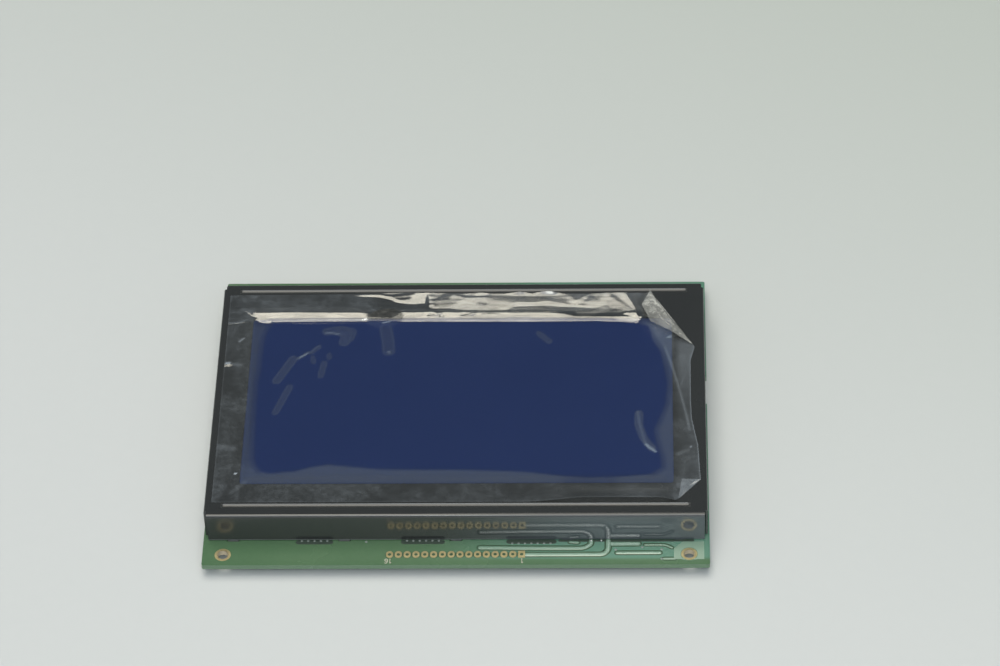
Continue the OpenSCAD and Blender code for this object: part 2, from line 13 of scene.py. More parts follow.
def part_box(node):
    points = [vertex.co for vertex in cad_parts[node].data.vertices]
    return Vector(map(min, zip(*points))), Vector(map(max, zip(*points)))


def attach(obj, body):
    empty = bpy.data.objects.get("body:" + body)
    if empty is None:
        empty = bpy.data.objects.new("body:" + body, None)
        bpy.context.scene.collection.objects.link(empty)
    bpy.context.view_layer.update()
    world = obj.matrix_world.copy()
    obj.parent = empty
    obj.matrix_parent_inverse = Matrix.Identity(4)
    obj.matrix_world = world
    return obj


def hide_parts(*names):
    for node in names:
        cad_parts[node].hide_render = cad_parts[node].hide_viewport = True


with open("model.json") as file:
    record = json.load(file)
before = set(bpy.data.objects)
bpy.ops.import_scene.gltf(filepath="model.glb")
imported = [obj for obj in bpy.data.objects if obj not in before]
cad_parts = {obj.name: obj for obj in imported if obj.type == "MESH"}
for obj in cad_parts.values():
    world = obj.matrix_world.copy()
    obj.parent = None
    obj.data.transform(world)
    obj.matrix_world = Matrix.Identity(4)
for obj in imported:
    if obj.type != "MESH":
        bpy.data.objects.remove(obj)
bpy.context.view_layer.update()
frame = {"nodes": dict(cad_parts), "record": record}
nodes = frame["nodes"]
MM = 0.001


def box_mm(node):
    """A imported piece's lowest and highest corner, in millimetres."""
    return [tuple(round(v / MM, 3) for v in corner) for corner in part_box(node)]


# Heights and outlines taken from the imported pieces, in millimetres
BOARD_TOP = box_mm("pcb")[1][2]
FACE_TOP = box_mm("bezel")[1][2]
(_, screen_front, _), (screen_right, screen_back, SCREEN_TOP) = box_mm("front_polarizer")
SCREEN_LAP = 2.0
window_x = screen_right - SCREEN_LAP
window_front, window_back = screen_front + SCREEN_LAP, screen_back - SCREEN_LAP
mounts = {mount["name"]: mount for mount in frame["record"]["mounts"]}
first_pin_x, header_y = (v / MM for v in mounts["header_pin_1"]["pos_m"][:2])
hole_x = mounts["mount_holes"]["dims"]["spacing_x_mm"] / 2
hole_y = -mounts["mount_holes"]["dims"]["spacing_y_mm"] / 2


class Val:
    """A shader socket that takes part in Python expressions; each sign adds one Math node."""

    def __init__(self, finish, socket):
        self.finish = finish
        self.socket = socket

    def _math(self, operation, first, second):
        return self.finish.node("Math", {"operation": operation}, {0: first, 1: second})

    def __add__(self, other):
        return self._math("ADD", self, other)

    def __radd__(self, other):
        return self._math("ADD", other, self)

    def __sub__(self, other):
        return self._math("SUBTRACT", self, other)

    def __rsub__(self, other):
        return self._math("SUBTRACT", other, self)

    def __mul__(self, other):
        return self._math("MULTIPLY", self, other)

    def __rmul__(self, other):
        return self._math("MULTIPLY", other, self)

    def __truediv__(self, other):
        return self._math("DIVIDE", self, other)

    def __rtruediv__(self, other):
        return self._math("DIVIDE", other, self)

    def __abs__(self):
        return self._math("ABSOLUTE", self, 0.0)


class Finish:
    """One node tree, of a material or of the world, and the few calls that fill it."""

    def __init__(self, name, tree=None):
        self.material = None
        if tree is None:
            self.material = bpy.data.materials.new(name)
            self.material.use_nodes = True
            tree = self.material.node_tree
        self.tree = tree
        self.tree.nodes.clear()

    def node(self, kind, settings=None, sockets=None, out=0):
        made = self.tree.nodes.new("ShaderNode" + kind)
        for key, value in (settings or {}).items():
            if key == "stops":
                ramp = made.color_ramp.elements
                while len(ramp) < len(value):
                    ramp.new(0.5)
                for stop, (place, colour) in zip(ramp, value):
                    stop.position = place
                    stop.color = colour
            else:
                setattr(made, key, value)
        for key, value in (sockets or {}).items():
            if isinstance(value, Val):
                self.tree.links.new(value.socket, made.inputs[key])
            else:
                made.inputs[key].default_value = value
        return Val(self, made.outputs[out])

    def place(self):
        """Where a point lies in the part's frame, in metres."""
        return self.node("TexCoord", out=3)

    def axis(self, vector, which):
        return self.node("SeparateXYZ", sockets={0: vector}, out=which)

    def noise(self, scale, detail=3.0, rough=0.5, at=None, warp=0.0):
        sockets = {"Vector": at or self.place(), "Scale": scale, "Detail": detail, "Roughness": rough}
        return self.node("TexNoise", sockets={**sockets, "Distortion": warp})

    def ramp(self, value, *stops):
        return self.node("ValToRGB", {"stops": stops}, {0: value})

    def step(self, value, low, high):
        """Nought below low, one above high and smooth between."""
        kind = {"interpolation_type": "SMOOTHSTEP"}
        return self.node("MapRange", kind, {"Value": value, "From Min": low, "From Max": high})

    def mix(self, share, first, second):
        return self.node("Mix", {"data_type": "RGBA"}, {0: share, 6: first, 7: second}, out=2)

    def bump(self, height, strength, distance):
        return self.node("Bump", sockets={"Height": height, "Strength": strength, "Distance": distance})

    def principled(self, **sockets):
        named = {key.replace("_", " ").title().replace("Ior", "IOR"): value for key, value in sockets.items()}
        return self.node("BsdfPrincipled", sockets=named)

    def close(self, shader):
        kind = "OutputMaterial" if self.material else "OutputWorld"
        end = self.tree.nodes.new("ShaderNode" + kind)
        self.tree.links.new(shader.socket, end.inputs["Surface"])
        return self.material


def tint(red, green, blue):
    return (red, green, blue, 1.0)


# Finishes


def solder_mask():
    f = Finish("solder_mask")
    place = f.place()
    patch = f.noise(60, 3, 0.55, place)
    weave = f.noise(900, 2, 0.5, place)
    face = f.mix(patch, tint(0.053, 0.122, 0.057), tint(0.071, 0.146, 0.071))
    face = f.mix(weave * 0.25, face, tint(0.105, 0.200, 0.105))
    # The board is painted lighter and bluer towards the right mounting hole: partly the copper under the
    # mask, partly a painted reflection of the brighter room there
    right = f.step(f.axis(place, 0), -0.015, 0.035) * f.step(f.axis(place, 1), -0.0564, -0.0550)
    face = f.mix(right * 0.8, face, tint(0.093, 0.222, 0.166))
    # The milled edge shows the lighter laminate
    up = abs(f.axis(f.node("NewGeometry", out=1), 2))
    laminate = f.mix(f.noise(1500, 2, 0.6, place), tint(0.112, 0.200, 0.118), tint(0.160, 0.250, 0.158))
    colour = f.mix(f.step(up, 0.5, 0.8), laminate, face)
    relief = f.bump(f.noise(420, 2, 0.5, place), 0.10, 0.00004)
    rough = 0.20 + 0.12 * patch
    return f.close(f.principled(base_color=colour, roughness=rough, ior=1.52, normal=relief))


def masked_copper():
    f = Finish("masked_copper")
    place = f.place()
    patch = f.noise(140, 3, 0.55, place)
    beside_hole = f.step(f.axis(place, 0), 0.0585, 0.0605)
    # The tracks are painted lighter than the board: partly the copper under the mask, partly a painted
    # highlight on their domed tops
    colour = f.mix(patch, tint(0.122, 0.232, 0.155), tint(0.188, 0.318, 0.232))
    relief = f.bump(f.noise(700, 2, 0.5, place), 0.12, 0.00004)
    look = {"roughness": 0.16 + 0.12 * patch + 0.30 * beside_hole, "ior": 1.8, "specular_ior_level": 1.0}
    return f.close(f.principled(base_color=colour, normal=relief, **look))


def track_gap():
    """Bare laminate in the clearances round tracks and pads, darker under the mask."""
    f = Finish("track_gap")
    grain = f.noise(700, 3, 0.6)
    colour = f.mix(grain, tint(0.036, 0.074, 0.042), tint(0.052, 0.100, 0.060))
    return f.close(f.principled(base_color=colour, roughness=0.55 + 0.2 * grain, specular_ior_level=0.25))


def via_field_and_wall_shadow():
    """Dark strips at the foot of the wall: patches round the rows of vias, and at the right a painted shadow
    along the wall's foot.
    """
    f = Finish("via_field_and_wall_shadow")
    grain = f.noise(900, 3, 0.6)
    colour = f.mix(grain, tint(0.025, 0.040, 0.031), tint(0.046, 0.070, 0.053))
    return f.close(f.principled(base_color=colour, roughness=0.45 + 0.2 * grain))


def via_plug():
    f = Finish("via_plug")
    grain = f.noise(2400, 3, 0.6)
    colour = f.mix(grain, tint(0.15, 0.18, 0.17), tint(0.26, 0.30, 0.28))
    return f.close(f.principled(base_color=colour, roughness=0.3 + 0.2 * grain))


def pin_number_ink():
    f = Finish("pin_number_ink")
    grain = f.noise(2500, 2, 0.6)
    colour = f.mix(grain, tint(0.40, 0.39, 0.31), tint(0.54, 0.52, 0.43))
    return f.close(f.principled(base_color=colour, roughness=0.5 + 0.2 * grain))


def gold_plating():
    f = Finish("gold_plating")
    place = f.place()
    grain = f.noise(1600, 3, 0.6, place)
    worn = f.noise(350, 3, 0.6, place)
    colour = f.mix(grain, tint(0.34, 0.28, 0.13), tint(0.50, 0.44, 0.27))
    colour = f.mix(f.step(worn, 0.58, 0.72) * 0.5, colour, tint(0.36, 0.29, 0.18))
    # Inside the bores the plating is dull and painted pale: partly its own brown, partly painted light
    # standing in for the lit table seen through the holes
    bore = f.step(f.axis(place, 2), 0.00462, 0.00450)
    colour = f.mix(bore, colour, tint(0.68, 0.59, 0.44))
    relief = f.bump(grain, 0.25, 0.00003)
    look = {"metallic": 1.0 - 0.75 * bore, "roughness": 0.30 + 0.2 * worn + 0.2 * bore}
    return f.close(f.principled(base_color=colour, normal=relief, **look))


def black_bezel():
    f = Finish("black_bezel")
    place = f.place()
    along, across, up = (f.axis(place, i) for i in range(3))
    haze = f.noise(45, 4, 0.6, place)
    peel = f.noise(1300, 2, 0.5, place)
    dust = f.step(f.noise(3200, 2, 0.7, place), 0.70, 0.80)
    colour = f.mix(haze, tint(0.0220, 0.0235, 0.0240), tint(0.0290, 0.0315, 0.0320))
    colour = f.mix(dust * 0.10, colour, tint(0.16, 0.16, 0.15))
    # A pale line is painted along the foot of the front wall, away from the right end: a painted glint of the
    # wall's bottom edge
    foot = f.step(up, 0.00518, 0.00500) * f.step(across, -0.0470, -0.0475)
    foot_glint = foot * f.step(f.noise(30, 2, 0.5, place), 0.30, 0.42) * f.step(along, 0.030, 0.015)
    colour = f.mix(foot_glint * 0.8, colour, tint(0.20, 0.21, 0.21))
    # The front wall is painted lighter and bluer towards the right: a painted reflection of the lit board
    # there. It is duller in its left half
    wall = f.step(across, -0.0479, -0.0483) * f.step(up, 0.0147, 0.0143)
    colour = f.mix(wall * f.step(along, -0.01, 0.045), colour, tint(0.080, 0.092, 0.105))
    wall_dull = 0.06 * f.step(along, 0.025, -0.020) + 0.08 * f.step(along, -0.045, -0.062)
    # The bend above it is dullest at the right, and the pressed beads are duller than the flat faces
    bend = f.step(across, -0.0470, -0.0476) * f.step(up, 0.0139, 0.0143)
    bend_dull = 0.06 + 0.22 * f.step(along, -0.03, 0.03)
    beside_bead = abs(abs(across + 0.00025) - 0.04405)
    bead = f.step(beside_bead, 0.0009, 0.00065) * f.step(abs(along), 0.0681, 0.0675)
    rough = 0.08 + 0.05 * haze + 0.24 * bead + bend_dull * bend + wall * wall_dull
    relief = f.bump(peel, 0.04, 0.00002)
    return f.close(f.principled(base_color=colour, roughness=rough, ior=1.70, normal=relief))


def blue_polarizer():
    f = Finish("blue_polarizer")
    place = f.place()
    cloud = f.noise(28, 3, 0.5, place)
    grain = f.noise(4200, 2, 0.5, place)
    colour = f.mix(cloud, tint(0.0130, 0.0264, 0.0960), tint(0.0172, 0.0330, 0.1110))
    colour = f.mix(grain * 0.2, colour, tint(0.019, 0.036, 0.115))
    return f.close(f.principled(base_color=colour, roughness=0.26 + 0.06 * grain, specular_ior_level=0.12))


def clear_film():
    """Thin film: what lies under it shows through, its two faces mirror the light and dust hazes it; the haze
    also carries painted highlights.
    Where it is wetted down on the screen its lower face mirrors nothing."""
    f = Finish("clear_film")
    place = f.place()
    dry = f.node("Attribute", {"attribute_name": "dry"}, out=2)
    milky = f.node("Attribute", {"attribute_name": "milky"}, out=2)
    crushed = f.node("Attribute", {"attribute_name": "crushed"}, out=2)
    cloud = f.noise(90, 4, 0.62, place, 0.4)
    speck = f.step(f.noise(520, 4, 0.72, place), 0.30, 0.72)
    mottle = f.step(cloud, 0.34, 0.66) * (0.3 + 1.4 * speck)
    along, across = f.axis(place, 0), f.axis(place, 1)
    over_bezel = f.step(abs(along), 0.0622, 0.0632) + f.step(abs(across + 0.0006), 0.0348, 0.0358)
    streak = f.step(f.noise(230, 5, 0.72, place, 1.4), 0.36, 0.74)
    haze = dry * (0.014 + 0.034 * mottle * over_bezel) + milky + crushed * streak
    relief = f.bump(f.noise(260, 3, 0.6, place), 0.03, 0.0002)
    # Where it is crumpled, loose layers mirror unevenly, in streaks along the window's edge
    drawn = f.node("VectorMath", {"operation": "MULTIPLY"}, {0: place, 1: (0.30, 1.5, 1.0)})
    layers = 0.80 + 0.40 * f.step(f.noise(420, 3, 0.6, drawn, 0.6), 0.34, 0.66)
    mirror = f.node("Fresnel", sockets={"IOR": 1.5, "Normal": relief}) * (0.65 + 1.85 * dry * layers)
    clear = f.node("BsdfTransparent", sockets={"Color": tint(0.97, 0.98, 0.98)})
    smooth_pale = f.mix(over_bezel, tint(0.64, 0.78, 0.92), tint(0.74, 0.83, 0.94))
    pale = f.mix(f.step(crushed, 0.0, 0.08), smooth_pale, tint(0.86, 0.86, 0.81))
    dust = f.principled(base_color=pale, roughness=1.0, specular_ior_level=0.0, normal=relief)
    worked = f.step(across, 0.0342, 0.0352) * f.step(along, -0.010, -0.006)
    shine = {"Color": tint(1.0, 0.985, 0.94), "Roughness": 0.08 + 0.15 * worked, "Normal": relief}
    gloss = f.node("BsdfGlossy", sockets=shine)
    body = f.node("MixShader", sockets={0: haze, 1: clear, 2: dust})
    return f.close(f.node("MixShader", sockets={0: mirror, 1: body, 2: gloss}))


def plain_finish(name, dark, light, scale, rough, metal=0.0, bump=0.1):
    """A finish with two mingled tones, uneven gloss and a fine relief."""
    f = Finish(name)
    place = f.place()
    grain = f.noise(scale, 3, 0.6, place)
    fine = f.noise(scale * 6, 2, 0.6, place)
    colour = f.mix(0.6 * grain + 0.4 * fine, tint(*dark), tint(*light))
    relief = f.bump(fine, bump, 0.00004)
    look = {"base_color": colour, "roughness": rough + 0.15 * grain, "metallic": metal, "normal": relief}
    return f.close(f.principled(**look))


# Dark tone, light tone, scale of the grain, roughness, and where they differ metal and relief
plain_finishes = {
    "display_glass": ((0.30, 0.36, 0.34), (0.40, 0.46, 0.43), 200, 0.05),
    "seal_epoxy": ((0.30, 0.26, 0.16), (0.42, 0.38, 0.26), 500, 0.35),
    "contact_rubber": ((0.20, 0.20, 0.21), (0.30, 0.30, 0.31), 800, 0.6),
    "diffuser": ((0.70, 0.71, 0.71), (0.80, 0.80, 0.79), 900, 0.5),
    "clear_acrylic": ((0.62, 0.66, 0.66), (0.72, 0.75, 0.74), 200, 0.08),
    "reflector": ((0.78, 0.79, 0.79), (0.86, 0.86, 0.85), 700, 0.35),
    "white_plastic": ((0.66, 0.66, 0.63), (0.74, 0.74, 0.71), 600, 0.45),
    "led_package": ((0.74, 0.72, 0.58), (0.82, 0.80, 0.68), 900, 0.4),
    "tinned_lead": ((0.52, 0.53, 0.54), (0.70, 0.70, 0.70), 1500, 0.28, 1.0),
    "package_mould": ((0.014, 0.014, 0.015), (0.032, 0.032, 0.033), 2600, 0.55, 0.0, 0.5),
    "resistor_body": ((0.012, 0.012, 0.014), (0.03, 0.03, 0.034), 2000, 0.3),
    "capacitor_body": ((0.30, 0.19, 0.10), (0.42, 0.29, 0.17), 1800, 0.4),
}
finishes = {name: plain_finish(name, *tones) for name, tones in plain_finishes.items()}
finishes["solder_mask"] = solder_mask()
finishes["gold_plating"] = gold_plating()
finishes["black_bezel"] = black_bezel()
finishes["polarizer"] = blue_polarizer()
finishes["clear_film"] = clear_film()
for entry in frame["record"]["subparts"]:
    skin = nodes[entry["node"]].data.materials
    skin.clear()
    skin.append(finishes[entry["material_slot"]])


# Meshes


def mesh_piece(name, points, faces, finish, smooth=True):
    """A new piece from points in millimetres, riding with the part."""
    mesh = bpy.data.meshes.new(name)
    mesh.from_pydata([Vector(p) * MM for p in points], [], faces)
    mesh.validate()
    mesh.polygons.foreach_set("use_smooth", [smooth] * len(mesh.polygons))
    mesh.materials.append(finish)
    mesh.update()
    piece = bpy.data.objects.new(name, mesh)
    bpy.context.scene.collection.objects.link(piece)
    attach(piece, "root")
    return piece


# Sections of the raised shapes: how far in from the side, or out from the middle, and how far up
TRACK_DOME = ((0.0, 0.0), (0.05, 0.30), (0.15, 0.55), (0.27, 0.80), (0.40, 0.97), (0.47, 1.0))
VIA_DOME = ((1.0, 0.0), (0.86, 0.55), (0.55, 0.9), (0.2, 1.0))


class Relief:
    """Collects low raised shapes on the board's top into one mesh."""

    def __init__(self, base):
        self.base = base
        self.points = []
        self.faces = []

    def rings(self, loops, closed=True):
        """Stacks loops of points, joins each to the next and caps the last."""
        start = len(self.points)
        count = len(loops[0])
        for loop in loops:
            self.points.extend(loop)
        for level in range(len(loops) - 1):
            low = start + level * count
            for i in range(count):
                j = (i + 1) % count
                self.faces.append((low + i, low + j, low + count + j, low + count + i))
        if closed:
            top = start + (len(loops) - 1) * count
            self.faces.append(tuple(range(top, top + count)))

    def track(self, route, width, height):
        """A ribbon with a domed top."""
        outline = ribbon(route, width)
        loops = []
        for into, up in TRACK_DOME:
            loops.append([(x, y, self.base + height * up) for x, y in inset(outline, width * into)])
        self.rings(loops)

    def via(self, x, y, radius, height):
        """A plugged via: a low dome."""
        loops = []
        for out, up in VIA_DOME:
            loops.append([(px, py, self.base + height * up) for px, py in circle(x, y, radius * out, 16)])
        self.rings(loops)


def circle(x, y, radius, count):
    turns = [math.tau * i / count for i in range(count)]
    return [(x + radius * math.cos(a), y + radius * math.sin(a)) for a in turns]


def inset(outline, by):
    """The outline moved inwards by that much."""
    moved = []
    count = len(outline)
    for i, (x, y) in enumerate(outline):
        before, after = Vector(outline[i - 1]), Vector(outline[(i + 1) % count])
        here = Vector((x, y))
        into = (here - before).normalized()
        out = (after - here).normalized()
        left = (Vector((-into.y, into.x)) + Vector((-out.y, out.x)))
        left = left / max(left.length_squared / 2, 0.2)
        moved.append(tuple(here + left * by))
    return moved


def rounded(route, radius, steps=6):
    """The route with each inner corner turned into an arc."""
    points = [Vector(route[0])]
    for before, here, after in zip(route, route[1:], route[2:]):
        before, here, after = Vector(before), Vector(here), Vector(after)
        reach = min(radius, (here - before).length * 0.49, (after - here).length * 0.49)
        start = here + (before - here).normalized() * reach
        end = here + (after - here).normalized() * reach
        for i in range(steps + 1):
            t = i / steps
            points.append(start.lerp(here, t).lerp(here.lerp(end, t), t))
    points.append(Vector(route[-1]))
    return points


def ribbon(route, width, turn=1.2):
    """The outline of a track along a route, counter-clockwise, with half-round ends."""
    line = rounded(route, turn)
    half = width / 2
    sides = []
    for i, here in enumerate(line):
        before, after = line[max(i - 1, 0)], line[min(i + 1, len(line) - 1)]
        along = (after - before).normalized()
        sides.append((here, along, Vector((-along.y, along.x))))
    right = [here - across * half for here, along, across in sides]
    left = [here + across * half for here, along, across in reversed(sides)]

    def cap(centre, along, across, sign):
        angles = [math.pi * i / 6 for i in range(1, 6)]
        return [centre + sign * (-across * math.cos(a) + along * math.sin(a)) * half for a in angles]

    end = cap(*sides[-1], 1)
    start = cap(*sides[0], -1)
    return [tuple(p) for p in right + end + left + start]


# Board: tracks under the mask, tented vias and the pin numbers beside the header row

PIN_COUNT = 16
pin_pitch = 2 * first_pin_x / (PIN_COUNT - 1)
TRACK_HEIGHT = 0.06
GAP_HEIGHT = 0.012
TRACK_CLEARANCE = 0.4
PAD_CLEARANCE = 1.36
# Middle lines of the tracks and their widths
tracks = [
    ([(20.4, -54.1), (42.6, -54.1), (44.0, -52.4), (44.0, -48.7)], 1.4),
    ([(7.0, -51.4), (20.2, -51.6), (37.0, -51.7), (39.0, -50.2), (39.0, -48.7)], 1.3),
    ([(46.6, -53.5), (58.8, -53.5)], 1.1),
    ([(44.9, -50.0), (52.6, -50.0)], 1.5),
    ([(60.0, -55.8), (63.2, -55.8)], 0.7),
    ([(54.6, -50.4), (60.4, -50.4), (62.4, -51.6)], 0.6),
    ([(33.0, -49.3), (35.2, -49.5)], 0.9),
]
board = Relief(BOARD_TOP)
gaps = Relief(BOARD_TOP)
for route, width in tracks:
    board.track(route, width, TRACK_HEIGHT)
    gaps.track(route, width + 2 * TRACK_CLEARANCE, GAP_HEIGHT)
for pin in range(PIN_COUNT):
    gaps.via(first_pin_x - pin_pitch * pin, header_y, PAD_CLEARANCE, GAP_HEIGHT)


def hole_pour(relief, height):
    """The copper area round the right mounting hole, with the hole's clearance left open."""
    left, right, front, back, chamfer = 62.9, 71.6, -56.0, -49.2, 2.6
    keepout, ring_slope, side_slope = 2.5, 0.1, 0.3
    outline = [(left, front), (right, front), (right, back), (left + chamfer, back), (left, back - chamfer)]
    ring = circle(hole_x, hole_y, keepout, 40)
    high = inset(outline, side_slope)
    wide = circle(hole_x, hole_y, keepout + ring_slope, 40)
    count = len(high)
    edges = [(i, (i + 1) % count) for i in range(count)]
    edges += [(count + i, count + (i + 1) % len(wide)) for i in range(len(wide))]
    verts, _, faces, *_ = delaunay_2d_cdt([Vector(p) for p in high + wide], edges, [], 0, 1e-5)
    start = len(relief.points)
    top = relief.base + height
    relief.points.extend((v.x, v.y, top) for v in verts)
    for face in faces:
        middle = sum((verts[i] for i in face), Vector((0, 0))) / len(face)
        if (middle - Vector((hole_x, hole_y))).length > keepout:
            relief.faces.append(tuple(start + i for i in face))
    for foot, head in ((outline, high), (ring[::-1], wide[::-1])):
        relief.rings([[(x, y, relief.base) for x, y in foot], [(x, y, top) for x, y in head]], closed=False)


hole_pour(board, TRACK_HEIGHT)
mesh_piece("track_gaps", gaps.points, gaps.faces, track_gap())
mesh_piece("board_tracks", board.points, board.faces, masked_copper())

fields = Relief(BOARD_TOP)
plugs = Relief(BOARD_TOP)
dots = Relief(BOARD_TOP)
VIA_PITCH, VIA_RADIUS = 1.84, 0.36
LONE_VIA_RADIUS, PLUG_HEIGHT = 0.4, 0.10
DOT_RADIUS, DOT_HEIGHT = 0.34, 0.2
FIELD_WIDTH, WALL_SHADOW_WIDTH, FIELD_HEIGHT = 1.7, 0.9, 0.02
FIELD_Y, WALL_FOOT_Y = -49.1, -48.75
# Each row of vias: the middle, how many there are and where they lie in y
for centre, count, via_y in ((-41.0, 5, -48.65), (-9.6, 6, -48.65), (21.8, 7, -49.75)):
    half = count / 2 * VIA_PITCH
    fields.track([(centre - half, FIELD_Y), (centre + half, FIELD_Y)], FIELD_WIDTH, FIELD_HEIGHT)
    for i in range(count):
        plugs.via(centre + (i - (count - 1) / 2) * VIA_PITCH, via_y, VIA_RADIUS, PLUG_HEIGHT)
for x, y in ((46.2, -52.3), (59.4, -52.2), (53.8, -51.3), (59.4, -55.8), (-26.0, -49.0)):
    plugs.via(x, y, LONE_VIA_RADIUS, PLUG_HEIGHT)
# A dark strip along the foot of the wall at the right: a painted shadow of the wall's foot
fields.track([(30.0, WALL_FOOT_Y), (68.4, WALL_FOOT_Y)], WALL_SHADOW_WIDTH, FIELD_HEIGHT)
for x in (39.1, 42.0):
    dots.via(x, WALL_FOOT_Y, DOT_RADIUS, DOT_HEIGHT)
mesh_piece("via_fields_and_wall_shadow", fields.points, fields.faces, via_field_and_wall_shadow())
mesh_piece("via_plugs", plugs.points, plugs.faces, via_plug())
mesh_piece("solder_dots", dots.points, dots.faces, finishes["tinned_lead"])

DIGIT_HEIGHT, DIGIT_NARROW = 1.7, 0.8
INK_WIDTH, INK_HEIGHT = 0.26, 0.025
digits = Relief(BOARD_TOP)
# Strokes of the digits, as shares of their height
one = [(0.30, 0.0), (0.30, 1.0), (0.08, 0.82)]
six = [(0.62, 0.90), (0.40, 1.0), (0.16, 0.82), (0.06, 0.42), (0.14, 0.10), (0.38, 0.0), (0.62, 0.12),
       (0.66, 0.34), (0.48, 0.54), (0.24, 0.50), (0.09, 0.34)]


def digit(strokes, corner_x, corner_y):
    """Draws a digit upside down, as the board's pin numbers stand."""
    width = DIGIT_HEIGHT * DIGIT_NARROW
    route = [(corner_x - x * width, corner_y - y * DIGIT_HEIGHT) for x, y in strokes]
    digits.track(route, INK_WIDTH, INK_HEIGHT)


number_y = header_y - 1.65
digit(one, -first_pin_x + 0.6, number_y)
digit(six, -first_pin_x - 0.4, number_y)
digit(one, first_pin_x + 0.5, number_y)
mesh_piece("pin_numbers", digits.points, digits.faces, pin_number_ink(), smooth=False)


# Protective film

# Gaps under the film: over the bezel's face, over the screen, and the least anywhere
FACE_GAP, SCREEN_GAP, LEAST_GAP = 0.06, 0.05, 0.04
(film_left, film_front, _), _ = box_mm("protective_film")
film_right, film_back = 70.8, 43.0
# How far the film slopes down from each side of the window, and how much farther at its back right corner
LEFT_SLOPE, RIGHT_SLOPE, FRONT_SLOPE, BACK_SLOPE, CORNER_SLOPE = 2.8, 4.0, 4.5, 1.4, 9.6
# Where the crumpled strip's close rows begin, and how many rows and columns the sheet has
STRIP_FRONT = 29.0
FRONT_ROWS, WINDOW_ROWS, STRIP_ROWS, COLUMNS = 13, 111, 51, 330
GRID_CELL = 0.62
# Ends of the two lines along which corners are folded over
fold_back, fold_right = Vector((56.6, 43.0)), Vector((69.4, 20.1))
small_fold_right, small_fold_front = Vector((70.8, -34.5)), Vector((64.3, -42.1))
# The sheet's back edge: x, y and height over the bezel's face
back_edge = [
    (-70.6, 42.2, 0.06), (-61.1, 42.4, 0.06), (-49.6, 42.4, 0.06), (-37.4, 42.5, 0.08), (-31.9, 42.5, 0.14),
    (-25.0, 42.6, 0.34), (-20.1, 42.6, 0.56), (-16.8, 42.5, 0.74), (-14.3, 42.1, 0.95), (-11.0, 42.0, 1.1),
    (-10.2, 41.8, 1.2), (-9.4, 41.9, 1.15), (-5.2, 42.1, 0.75), (-3.1, 41.8, 1.05), (0.9, 41.5, 1.2),
    (3.3, 41.6, 1.22), (4.5, 41.6, 1.4), (5.9, 41.6, 1.42), (7.5, 41.5, 1.22), (13.0, 41.4, 1.18),
    (15.4, 41.6, 1.45), (17.2, 41.7, 1.80), (18.8, 41.6, 1.45), (20.8, 41.5, 1.2), (23.2, 41.7, 1.5),
    (25.0, 41.8, 1.86), (27.2, 41.7, 1.80), (29.0, 41.5, 1.2), (31.1, 41.4, 1.06), (38.4, 41.4, 0.98),
    (43.4, 41.4, 1.34), (45.2, 41.6, 1.08), (49.2, 41.5, 1.40), (50.5, 41.7, 0.9), (55.3, 42.6, 0.35),
    (56.5, 43.0, 0.3),
]
